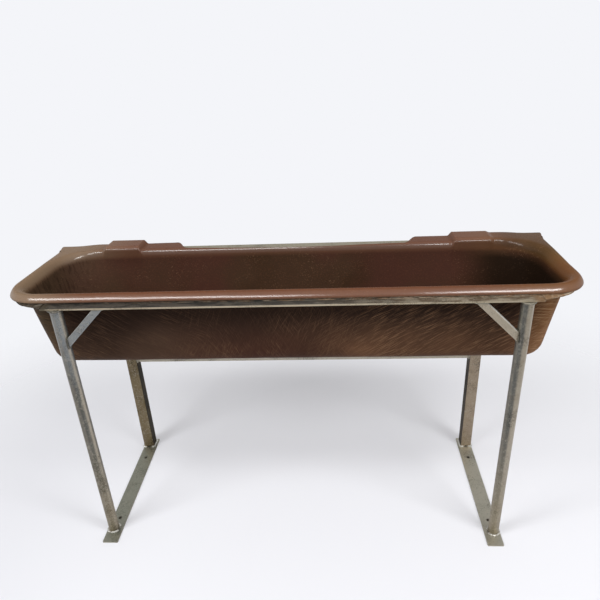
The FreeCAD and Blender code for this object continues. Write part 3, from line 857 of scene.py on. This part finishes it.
        def place(s, w, inner):
            """The back wall stands further back the nearer a point is to its top."""
            fade = smooth(1 + (w + sizes.crest_fall) / sizes.back_fair)
            return plan(s + back * fade * sizes.back_shift, inner), w
        push, rise = self.saddle(x) if x is not None else (0.0, 0.0)
        lift = sizes.saddle_rise * rise + sizes.crest_fall * (math.sin(reach) - 1)
        top, under_top = self.joint(bend, 0.0), self.joint(bend, sizes.shell)
        inside = self.basin(top, sizes.depth, sizes.floor_radius)
        inside += self.crest(top, 0.0, push, rise, bend, reach)
        outside = self.basin(under_top, sizes.depth + sizes.shell,
                             sizes.floor_radius + sizes.shell)
        outside += self.crest(under_top, sizes.shell, push, rise, bend, reach)
        over = [place(*row) for row in inside]
        under = [place(*row) for row in outside]
        edge = rim_point if rim_point else over[-1][0]
        run = [(over[-1][0].lerp(edge, t), lift) for t in spread(0, 1, ACROSS_PARTS)[1:]]
        run += [(edge + out * far, w + lift) for far, w in self.edge(rolled)]
        run += [(under[-1][0].lerp(edge, t), lift - sizes.shell)
                for t in spread(1, 0, ACROSS_PARTS)[1:-1]]
        points = over + run + under[::-1]
        self.lip_at = len(over) + ACROSS_PARTS + ROLL_PARTS
        return [(p.x, p.y, w) for p, w in points]

    def turn(self, x, v, radius, way, a):
        """Plan of a round corner about (x, v) at angle a; way is 1 at the back, -1 in front."""
        def plan(s, inner):
            r = radius + s + inner
            return Vector((x - inner + r * math.cos(a), v - way * inner + r * math.sin(a)))
        return plan

    def back_turn(self, a):
        return self.turn(self.back_x, self.back_corner, self.sizes.back_radius, 1, a)

    def stations(self):
        """Stations of the right half, from the middle of the front to the middle of the back."""
        yield from self.lip_stations()
        yield from self.corner_stations()
        yield from self.back_stations()

    def lip_stations(self):
        """Along the rolled lip: front, front corner, end and half of the back corner."""
        corner, back = self.sizes.corner, self.back_corner

        def front(t):
            return lambda s, inner: Vector((t * (self.corner_x - inner), self.rim - s))

        def end(t):
            return lambda s, inner: Vector((self.wall_x + s,
                                            blend(corner + inner, back - inner, t)))

        for t in spread(0, 1, 24):
            yield self.station(front(t), True, None, Vector((0, -1)))
        for a in spread(-math.pi / 2, 0, 12)[1:]:
            yield self.station(self.turn(self.corner_x, corner, self.wall_r, -1, a), True, None,
                               Vector((math.cos(a), math.sin(a))))
        for t in spread(0, 1, 8)[1:]:
            yield self.station(end(t), True, None, Vector((1, 0)))
        ahead = self.sizes.rolled_end - back
        roll_x = self.half - self.rim + self.sizes.crest
        for a in spread(0, math.pi / 4, 8)[1:]:
            rim_point = Vector((roll_x, back + ahead * math.tan(a)))
            yield self.station(self.back_turn(a), True, rim_point, Vector((1, 0)),
                               back=math.sin(a) ** 2)

    def corner_stations(self):
        """Round the end and the back corner of the flange, while the basin's corner turns."""
        sizes, nip, r = self.sizes, self.nip, self.sizes.flange_corner
        wide = self.flange_x + sizes.flange_flare
        near = Vector((wide - r, sizes.flange_wide - r))
        path = [(Vector((blend(self.flange_x, wide, smooth(t)) - nip,
                         blend(sizes.rolled_end, near.y, t))), Vector((1, 0)))
                for t in spread(0, 1, 5)[:-1]]
        for a in spread(0, math.pi / 2, 5):
            out = Vector((math.cos(a), math.sin(a)))
            path.append((near + out * (r - nip), out))
        path += [(Vector((x, sizes.flange_wide - nip)), Vector((0, 1)))
                 for x in spread(near.x, self.back_x, 9)[1:-1]]
        for rim_point, out in path:
            a = max(math.pi / 4, math.atan2(rim_point.y - self.back_corner,
                                            rim_point.x - self.back_x))
            yield self.station(self.back_turn(a), False, rim_point, out, x=rim_point.x,
                               back=math.sin(a) ** 2)

    def back_stations(self):
        """Along the back, over the saddle and past the step to the narrow flange."""
        sizes, nip, narrow = self.sizes, self.nip, self.narrow_x

        def rear(t):
            return lambda s, inner: Vector((t * (self.back_x - inner), sizes.opening_back + s))

        slope = math.atan2(sizes.flange_wide - sizes.flange_narrow, sizes.step_run)
        for x in self.back_places():
            k = smooth((x - narrow + STEP_SOFTNESS) / (sizes.step_run + 2 * STEP_SOFTNESS))
            tilt = slope * (1 - abs(2 * min(1, max(0, (x - narrow) / sizes.step_run)) - 1))
            short = sizes.flange_narrow - sizes.flange_bow * (1 - min(1, x / narrow) ** 2) - nip
            cut_run = short - sizes.opening_back - sizes.back_shift
            cut = math.acos(1 - min(1, cut_run / sizes.crest_back))
            rim_point = Vector((x, blend(short, sizes.flange_wide - nip, k)))
            yield self.station(rear(x / self.back_x), False, rim_point,
                               Vector((-math.sin(tilt), math.cos(tilt))), x=x, back=1.0,
                               reach=blend(cut, math.pi / 2, smooth(2 * k)))

    def back_places(self):
        """Places along the back, inwards, closer together at the step and at the saddle."""
        margin, inner, outer = 0.010, self.saddle_in, self.saddle_out
        runs = ((0, self.narrow_x - margin, 8),
                (self.narrow_x - margin, self.wide_x + margin, 12),
                (self.wide_x + 2 * margin, inner - margin, 3),
                (inner - FACE_LEAD, inner + 0.018, 8),
                (inner + 3 * margin, outer - 3 * margin, 3),
                (outer - 0.022, outer + margin, 9))
        places = {x for run in runs for x in spread(*run) if x < self.back_x - 0.004}
        return sorted(places | {self.back_x}, reverse=True)

    def warp(self, p):
        """Move of a point of the back edge, which has sprung out of the plane of the rim."""
        sizes = self.sizes
        rise = self.saddle(p.x)[1]
        v = p.y - SHELL_LOW.y
        back = smooth((v - sizes.corner) / (sizes.flange_wide - 1.6 * sizes.corner))
        high = smooth(1 + (p.z - RAIL_HIGH.z) / (sizes.depth - sizes.floor_radius))
        beyond = abs(p.x) - (self.saddle_in + self.saddle_out) / 2
        lift = sizes.warp * smooth(beyond / SPRING_RUN) * (1 - rise) if p.x > 0 else 0.0
        edge = smooth((v - sizes.rolled_end) / (sizes.flange_wide - sizes.rolled_end))
        skew = sizes.skew * edge * smooth((abs(p.x) - self.saddle_out) / sizes.corner) ** 2
        return Vector((0, -skew, lift * back * high))

    def build(self):
        """Closed mesh of the moulding; finishes 0 gelcoat, 1 cut edge, 2 laminate."""
        right = list(self.stations())
        left = [[(-x, v, w) for x, v, w in station] for station in right[-2:0:-1]]
        bm = bmesh.new()
        rings = [[bm.verts.new(self.seat(*point)) for point in station]
                 for station in right + left]
        count = len(rings[0])
        for i, ring in enumerate(rings):
            after = rings[(i + 1) % len(rings)]
            for j in range(count - 1):
                face = bm.faces.new((ring[j], after[j], after[j + 1], ring[j + 1]))
                face.material_index = 0 if j < self.lip_at else 1 if j < self.lip_at + 2 else 2
        bm.faces.new([ring[0] for ring in rings])
        bm.faces.new([ring[-1] for ring in reversed(rings)]).material_index = 2
        for vert in bm.verts:
            vert.co += self.warp(vert.co)
        bmesh.ops.remove_doubles(bm, verts=bm.verts, dist=2e-5)
        bmesh.ops.recalc_face_normals(bm, faces=bm.faces)
        bm.normal_update()
        for vert, dip in [(vert, self.hollow(vert.co)) for vert in bm.verts]:
            vert.co -= vert.normal * dip
        return bm

    def hollow(self, p):
        """Depth of the hand-laid surface's slow and quick hollows at a point."""
        deep, most = self.sizes.waviness * 0.7, 1.3
        dip = 0.6 + 0.8 * wander(1, *p, scale=7.0) + 0.4 * wander(2, *p, scale=21.0)
        return deep * min(max(dip, 0.0), most)


def fillet(bm, path, closed, seed, ripple):
    """Bead along path: (root, way along the first face, way along the second), in metres.
    The shares below are of its leg length."""
    sunk, least, wave, lump, sway, crown, flat = 0.12, 0.80, 0.22, 0.28, 0.22, 0.10, 0.18
    rings, travelled, last = [], 0.0, None
    for i, (root, a, b) in enumerate(path):
        travelled += (root - last).length if last else 0.0
        last = root
        fade = 1.0 if closed else min(1.0, 0.35 + 0.4 * min(i, len(path) - 1 - i))
        beat = abs(math.sin(math.pi * travelled / ripple + wander(seed, *root, scale=90.0)))
        size = fade * (least + wave * beat + lump * wander(seed, *root, scale=75.0))
        side = 1.0 + sway * wander(seed + 3, *root, scale=60.0)
        ring = [bm.verts.new(root - (a + b) * sunk)]
        for t in spread(0, math.pi / 2, 6):
            swell = size * (1.0 + crown * math.sin(2 * t))
            bulge = 1.0 - flat + flat * abs(math.cos(2 * t))
            ring.append(bm.verts.new(root + a * (swell * side * math.cos(t) ** bulge)
                                     + b * (swell / side * math.sin(t) ** bulge)))
        rings.append(ring)
    bridge(bm, rings, closed)


def along(line, t):
    """Point at share t of a smooth line through evenly shared points."""
    points = [Vector(p) for p in (line[0], *line, line[-1])]
    at = min(t * (len(line) - 1), len(line) - 1 - 1e-6)
    i = int(at)
    u = at - i
    a, b, c, d = points[i:i + 4]
    return 0.5 * (2 * b + (c - a) * u + (2 * a - 5 * b + 4 * c - d) * u * u
                  + (3 * b - 3 * c + d - a) * u ** 3)


def rounded_square(half, r, spacing):
    """(u, v, normal u, normal v) round a square with round corners."""
    points = []
    for i, (su, sv) in enumerate(((1, 1), (-1, 1), (-1, -1), (1, -1))):
        centre = su * (half - r), sv * (half - r)
        for a in spread(i * math.pi / 2, (i + 1) * math.pi / 2, 4):
            points.append((centre[0] + r * math.cos(a), centre[1] + r * math.sin(a),
                           math.cos(a), math.sin(a)))
    full = []
    for i, p in enumerate(points):
        q = points[(i + 1) % len(points)]
        gap = math.hypot(q[0] - p[0], q[1] - p[1])
        steps = max(1, round(gap / spacing))
        full += [tuple(blend(a, b, k / steps) for a, b in zip(p, q)) for k in range(steps)]
    return full


def open_run(path, blocked):
    """Starts a closed run behind its gap and leaves the gap out."""
    path = list(path)
    first = next(i for i, item in enumerate(path)
                 if blocked(item[0]) and not blocked(path[(i + 1) % len(path)][0]))
    turned = path[first + 1:] + path[:first + 1]
    return [item for item in turned if not blocked(item[0])]


# Corner radii of the square tubes and spacing of the rings of a bead round them, in metres

REAR_LEG_CORNER, STRETCHER_CORNER, BRACE_CORNER = 0.004, 0.003, 0.002
TUBE_SPACING, BRACE_SPACING = 0.003, 0.0025
ROUND_LEG_PARTS = 72


class WeldPaths:
    """Runs of the right half's beads, each as (root, way along one face, along the other)."""

    def __init__(self, sizes):
        self.leg = (LEG_LOW + LEG_HIGH) / 2
        self.leg_r = (LEG_HIGH.x - LEG_LOW.x) / 2
        self.rear = (REAR_LEG_LOW + REAR_LEG_HIGH) / 2
        self.rear_half = (REAR_LEG_HIGH.x - REAR_LEG_LOW.x) / 2
        self.brace_half = sizes.brace / 2
        self.brace_way = Vector((1, 0, -1)).normalized()
        self.big, self.small = sizes.leg_bead, sizes.brace_bead
        self.vent_gap = sizes.vent * 1.15

    def ring(self, z, up):
        """Round a front leg."""
        for a in spread(0, 2 * math.pi, ROUND_LEG_PARTS)[:-1]:
            out = Vector((math.cos(a), math.sin(a), 0))
            yield (Vector((self.leg.x, self.leg.y, z)) + out * self.leg_r, out * self.big,
                   Vector((0, 0, up * self.big)))

    def collar(self, z, up, thin):
        """Round a rear leg; thin narrows the bead along its front and back."""
        for u, v, nu, nv in rounded_square(self.rear_half, REAR_LEG_CORNER, TUBE_SPACING):
            side = self.big * math.hypot(nu, nv * thin)
            yield (Vector((self.rear.x + u, self.rear.y + v, z)), Vector((nu, nv, 0)) * side,
                   Vector((0, 0, up * self.big)))

    def stretcher_end(self):
        """Round the stretcher, on the inner side of a rear leg."""
        half = (STRETCHER_HIGH.z - STRETCHER_LOW.z) / 2
        x, z = self.rear.x - self.rear_half, STRETCHER_LOW.z + half
        for u, v, nu, nv in rounded_square(half, STRETCHER_CORNER, TUBE_SPACING):
            yield (Vector((x, self.rear.y + u, z + v)), Vector((0, nu, nv)) * self.small,
                   Vector((-self.small, 0, 0)))

    def brace_sides(self):
        """(point round the brace, its offset sideways, way out across and sideways)."""
        half, cross = self.brace_half, Vector((1, 0, 1)).normalized()
        start = Vector((BRACE_LOW.x + half * math.sqrt(2), self.leg.y, RAIL_LOW.z))
        for u, v, nu, nv in rounded_square(half, BRACE_CORNER, BRACE_SPACING):
            yield start + cross * u + Vector((0, v, 0)), v, nu, nv

    def brace_top(self):
        """Round the brace, under the rail."""
        way = self.brace_way
        for base, v, nu, nv in self.brace_sides():
            root = base + way * ((RAIL_LOW.z - base.z) / way.z)
            yield root, Vector((nu, nv, 0)) * self.small, way * self.small

    def brace_foot(self):
        """Round the brace, where it is saddled on the front leg."""
        way = self.brace_way
        for base, v, nu, nv in self.brace_sides():
            wall = self.leg.x - math.sqrt(self.leg_r ** 2 - min(abs(v), self.leg_r * 0.95) ** 2)
            root = base + way * ((wall - base.x) / way.x)
            face = Vector((-0.25 * abs(nv), nv * 0.75, nu)).normalized()
            yield root, face * self.small, way * -self.small

    def at_leg_vent(self, p):
        """Beads stop at the hole that let the zinc run out, on a front leg's inner side."""
        return p.x < self.leg.x and abs(p.y - self.leg.y) < self.vent_gap

    def at_rear_vent(self, p):
        """The same in front of a rear leg."""
        return p.y < self.rear.y and abs(p.x - self.rear.x) < self.vent_gap

    def beads(self):
        """(node without its side, run, whether the run closes on itself)."""
        foot, top = FOOT_HIGH.z, RAIL_LOW.z
        return (
            ("weld_front_leg_base", open_run(self.ring(foot, 1), self.at_leg_vent), False),
            ("weld_rear_leg_base", open_run(self.collar(foot, 1, 1.0), self.at_rear_vent), False),
            ("weld_front_leg_top", list(self.ring(top, -1)), True),
            ("weld_rear_leg_top", list(self.collar(top, -1, 0.25)), True),
            ("weld_brace_top", list(self.brace_top()), True),
            ("weld_brace_foot", list(self.brace_foot()), True),
            ("weld_stretcher", list(self.stretcher_end()), True),
        )


# One operator per piece, or per group of like pieces

class BuildTrough(bpy.types.Operator):
    """Builds the moulded trough over its CAD node"""
    bl_idname = "trough.moulding"
    bl_label = "Moulding"

    def execute(self, context):
        scene = context.scene
        mould = Moulding(scene.trough_sizes)
        colours = scene.trough_colours
        piece = new_piece("moulding", mould.build(), gelcoat_finish(colours, mould.sizes),
                          raw_finish(colours), laminate_finish(colours))
        piece.data.set_sharp_from_angle(angle=math.radians(52))
        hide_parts("trough_shell")
        return {"FINISHED"}


class FinishStand(bpy.types.Operator):
    """Galvanises the CAD bars and tubes of the stand"""
    bl_idname = "trough.stand"
    bl_label = "Stand"

    def execute(self, context):
        colours = context.scene.trough_colours
        for side, way in SIDES:
            dress("front_leg_" + side, front_leg_zinc(colours, side, way))
            dress("rear_leg_" + side, rear_leg_zinc(colours, side, way))
            dress("foot_bar_" + side, foot_zinc(colours, side, way))
            dress("brace_" + side, brace_zinc(colours, side, way))
        dress("front_rail", rail_zinc(colours))
        dress("rear_rail", rear_bar_zinc(colours, "zinc_rear_rail", colours.zinc_moss))
        dress("rear_stretcher", rear_bar_zinc(colours, "zinc_stretcher", colours.zinc_light))
        return {"FINISHED"}


class BuildWelds(bpy.types.Operator):
    """Lays the rippled weld beads over their CAD nodes"""
    bl_idname = "trough.welds"
    bl_label = "Welds"

    def execute(self, context):
        sizes = context.scene.stand_sizes
        material = weld_zinc(context.scene.trough_colours)
        for number, (name, path, closed) in enumerate(WeldPaths(sizes).beads()):
            for side, way in SIDES:
                flip = Vector((way, 1, 1))
                bm = bmesh.new()
                fillet(bm, [tuple(v * flip for v in item) for item in path], closed,
                       number * 2 + way, sizes.ripple)
                piece = new_piece("bead_" + name[5:] + "_" + side, bm, material)
                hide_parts(name + "_" + side)
        return {"FINISHED"}


class FillHoles(bpy.types.Operator):
    """Puts dark crumbly discs into the anchor holes of the foot bars as painted shade"""
    bl_idname = "trough.soil"
    bl_label = "Soil in the holes"

    def execute(self, context):
        sizes = context.scene.stand_sizes
        material = shade_disc_finish(context.scene.trough_colours)
        for side, way in SIDES:
            bm = bmesh.new()
            x = (FOOT_LOW.x + FOOT_HIGH.x) / 2 * way
            for along_bar in (sizes.hole_front, sizes.hole_front + sizes.hole_pitch):
                self.plug(bm, Vector((x, FOOT_LOW.y + along_bar, FOOT_LOW.z)), sizes)
            piece = new_piece("soil_" + side, bm, material)
        return {"FINISHED"}

    def plug(self, bm, centre, sizes):
        """Crumbly disc a little under the top of the bar."""
        clearance, base = 0.0003, 0.0002
        reach = sizes.hole - clearance
        rings = []
        for share_out in spread(0, 1, 4)[1:]:
            ring = []
            for a in spread(0, 2 * math.pi, 24)[:-1]:
                place = centre + Vector((math.cos(a), math.sin(a), 0)) * reach * share_out
                place.z += sizes.soil * (1 + 0.35 * wander(21, *place, scale=700.0))
                ring.append(bm.verts.new(place))
            rings.append(ring)
        rings.append([bm.verts.new((v.co.x, v.co.y, centre.z + base)) for v in rings[-1]])
        bridge(bm, rings)


class BuildBonds(bpy.types.Operator):
    """Lays the fibre tongues under the front corners and the resin line on the rail"""
    bl_idname = "trough.bonds"
    bl_label = "Corner laminate and resin"

    def execute(self, context):
        sizes = context.scene.stand_sizes
        mould = Moulding(context.scene.trough_sizes)
        material = raw_finish(context.scene.trough_colours)
        material.name = "corner_laminate"
        for side, way in SIDES:
            bm = self.tongue(mould, sizes.tongue, way)
            piece = new_piece("corner_laminate_" + side, bm, material)
            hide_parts("corner_bond_" + side)
        piece = new_piece("resin_line", self.resin(mould, sizes.resin), material)
        return {"FINISHED"}

    def tongue(self, mould, thick, way):
        """Frayed strip from the end of the rail round under the lip of the corner."""
        sizes = mould.sizes
        fray_depth, lump_height, edge_tuck, top_tuck = 0.0030, 0.0011, 0.0005, 0.0015
        start_v = RAIL_LOW.y - SHELL_LOW.y
        end_v = start_v + (RAIL_HIGH.y - RAIL_LOW.y) - 0.004
        low = -sizes.lip_drop - thick
        begin = RAIL_HIGH.x - mould.corner_x
        outer_line = ((begin, start_v), (-0.015, -0.020), (0.001, -0.013), (0.016, -0.0075),
                      (0.034, 0.001), (0.051, 0.013), (0.067, 0.030))
        inner_line = ((begin, end_v), (-0.012, 0.010), (0.005, 0.011), (0.018, 0.014),
                      (0.029, 0.019), (0.042, 0.027), (0.053, 0.036))
        bm = bmesh.new()
        rows = []
        for i, t in enumerate(spread(0, 1, 40)):
            outer, inner = along(outer_line, t), along(inner_line, t)
            outer.x += mould.corner_x
            inner.x += mould.corner_x
            fray = fray_depth * wander(11 + way, t * 30.0, 0.0, 0.0)
            out = (outer - inner).normalized()
            row = []
            for k, u in enumerate(spread(0, 1, 9)):
                place = inner.lerp(outer, u) + out * fray * (u - 0.4)
                lump = wander(17, place.x * way, place.y, 0.0, scale=85.0)
                edge = math.sin(math.pi * min(1.0, max(0.0, 0.08 + 0.84 * u)))
                w = blend(-sizes.lip_drop + edge_tuck, low, edge ** 0.5) + lump_height * lump
                row.append(bm.verts.new(mould.seat(place.x * way, place.y, w)))
            for u in spread(1, 0, 4):
                place = inner.lerp(outer, u)
                row.append(bm.verts.new(mould.seat(place.x * way, place.y,
                                                   -sizes.lip_drop + top_tuck)))
            rows.append(row)
        bridge(bm, rows)
        return bm

    def resin(self, mould, height):
        """Broken line of resin squeezed out where the lip sits on the rail."""
        margin, ahead, ripple, least = 0.004, 0.0002, 0.006, 0.25
        bm = bmesh.new()
        runs = [[]]
        for x in spread(RAIL_LOW.x + margin, RAIL_HIGH.x - margin, 900):
            size = height * (0.55 + 0.9 * wander(5, x, 0.0, 0.0, scale=46.0)
                             + 0.5 * wander(6, x, 0.0, 0.0, scale=170.0))
            if size < height * least:
                runs.append([])
                continue
            root = mould.seat(x, -ahead, -mould.sizes.lip_drop)
            root.z = RAIL_HIGH.z
            runs[-1].append((root, Vector((0, -size * 1.3, 0)), Vector((0, 0, size))))
        for run in runs:
            if len(run) > 3:
                fillet(bm, run, False, 5, ripple)
        return bm


# Lamps: name, place, width and depth, share of the key's power, and whether the object only
# mirrors the lamp and isn't lit by it

LAMPS = (("softbox_left", (-1.38, -1.85, 2.7), (2.64, 0.30), 1.1, True),
         ("softbox_right", (1.75, -1.85, 2.7), (1.7, 0.30), 0.95, True),
         ("fill_left", (-2.35, -1.80, 2.5), (1.6, 0.60), 0.80, False),
         ("fill_right", (2.35, -1.80, 2.5), (1.6, 0.60), 0.84, False),
         ("high_left", (-1.35, -1.00, 2.9), (0.7, 0.40), 0.46, False),
         ("high_right", (1.35, -1.00, 2.9), (0.7, 0.40), 0.46, False))
AIM_HEIGHT = 0.7


class BuildStudio(bpy.types.Operator):
    """Sets the camera, the soft lamps, the white room and the floor"""
    bl_idname = "trough.studio"
    bl_label = "Studio"

    def execute(self, context):
        scene = context.scene
        studio = scene.trough_studio
        self.camera(scene, studio)
        self.lamps(scene, studio)
        self.room(scene, studio)
        self.floor(scene, studio)
        scene.view_settings.view_transform = "Standard"
        return {"FINISHED"}

    def camera(self, scene, studio):
        camera = bpy.data.objects.new("camera", bpy.data.cameras.new("camera"))
        scene.collection.objects.link(camera)
        camera.location = studio.camera
        camera.rotation_euler = Euler(studio.tilt)
        camera.data.lens = studio.lens
        camera.data.sensor_width = 36.0
        camera.data.clip_start = 0.05
        scene.camera = camera

    def lamps(self, scene, studio):
        for name, place, size, power, mirrored in LAMPS:
            lamp = bpy.data.objects.new(name, bpy.data.lights.new(name, "AREA"))
            lamp.visible_glossy = mirrored
            lamp.visible_diffuse = not mirrored
            lamp.data.shape = "RECTANGLE"
            lamp.data.size, lamp.data.size_y = size
            lamp.data.energy = studio.key * power
            lamp.location = place
            aim = Vector((place[0] * 0.6, 0.0, AIM_HEIGHT)) - Vector(place)
            lamp.rotation_euler = aim.to_track_quat("-Z", "Y").to_euler()
            scene.collection.objects.link(lamp)

    def room(self, scene, studio):
        """Pale backdrop up to head height, a plainer ceiling above and even light from all."""
        scene.world = world = bpy.data.worlds.new("room")
        world.use_nodes = True
        f = Finish("room", world.node_tree)
        camera, glossy, through = [
            f.node("ShaderNodeLightPath", {}, {}, out="Is %s Ray" % kind)
            for kind in ("Camera", "Glossy", "Transmission")]
        place = f.node("ShaderNodeTexCoord", {}, {}, out="Generated")
        _, y, z = f.axes(place)
        backdrop = (1.0 - z.step(0.10, 0.55)) * y.step(-0.6, 0.5)
        mirrored = (glossy + through).clamped() * backdrop
        lit = f.node("ShaderNodeBackground", {},
                     {"Color": (1.0, 0.985, 0.965), "Strength": studio.ambient})
        seen = f.node("ShaderNodeBackground", {}, {"Color": tuple(studio.backdrop)})
        both = f.node("ShaderNodeMixShader", {}, {0: (camera + mirrored).clamped(), 1: lit,
                                                  2: seen})
        f.node("ShaderNodeOutputWorld", {}, {0: both})

    def floor(self, scene, studio):
        """Floor that fades into the pale room some way off."""
        half, parts = 4.0, 12
        bm = bmesh.new()
        rows = [[bm.verts.new((x, y, 0.0)) for x in spread(-half, half, parts)]
                for y in spread(-half, half, parts)]
        for row, after in zip(rows, rows[1:]):
            for k in range(parts):
                bm.faces.new((row[k], row[k + 1], after[k + 1], after[k]))
        mesh = bpy.data.meshes.new("floor")
        bm.to_mesh(mesh)
        bm.free()
        mesh.polygons.foreach_set("use_smooth", [True] * len(mesh.polygons))
        f = Finish("floor")
        cloud = f.noise(1.3, detail=2.0)
        x, y, _ = f.axes()
        # Painted shade on the left side of the floor
        left = 1.0 - (x + 0.1 * cloud).step(-1.15, -0.35)
        tone = f.mix((left + 0.05 * cloud).clamped(), studio.floor, studio.floor_shade)
        grain = f.bump(f.noise(180.0, detail=2.0), 0.0002, 0.1)
        away = (x * x / 1.4 + y * y) ** 0.5
        fading = away.step(0.7, 1.9)
        mesh.materials.append(f.surface(Base_Color=tone, Roughness=0.9 - 0.1 * cloud,
                                        Normal=grain, Specular_IOR_Level=0.1,
                                        Emission_Color=tone, Emission_Strength=studio.glow,
                                        Alpha=0.99 - 0.99 * fading))
        floor = bpy.data.objects.new("floor", mesh)
        scene.collection.objects.link(floor)
        return floor


class TroughPanel(bpy.types.Panel):
    """Sidebar with every step"""
    bl_idname = "VIEW3D_PT_trough"
    bl_label = "Trough"
    bl_space_type = "VIEW_3D"
    bl_region_type = "UI"
    bl_category = "Trough"

    def draw(self, context):
        for operator in OPERATORS:
            self.layout.operator(operator.bl_idname)
        for group in (context.scene.trough_sizes, context.scene.stand_sizes,
                      context.scene.trough_colours, context.scene.trough_studio):
            box = self.layout.box()
            for key in group.__annotations__:
                box.prop(group, key)


OPERATORS = (BuildTrough, FinishStand, BuildWelds, FillHoles, BuildBonds, BuildStudio)
GROUPS = (("trough_sizes", TroughSizes), ("stand_sizes", StandSizes),
          ("trough_colours", FinishColours), ("trough_studio", StudioSettings))


def register():
    for key, group in GROUPS:
        bpy.utils.register_class(group)
        setattr(bpy.types.Scene, key, bpy.props.PointerProperty(type=group))
    for cls in (*OPERATORS, TroughPanel):
        bpy.utils.register_class(cls)


def unregister():
    for cls in reversed((*OPERATORS, TroughPanel)):
        bpy.utils.unregister_class(cls)
    for key, group in reversed(GROUPS):
        delattr(bpy.types.Scene, key)
        bpy.utils.unregister_class(group)


def main():
    register()
    bpy.ops.trough.moulding()
    bpy.ops.trough.stand()
    bpy.ops.trough.welds()
    bpy.ops.trough.soil()
    bpy.ops.trough.bonds()
    bpy.ops.trough.studio()


if __name__ == "__main__":
    main()
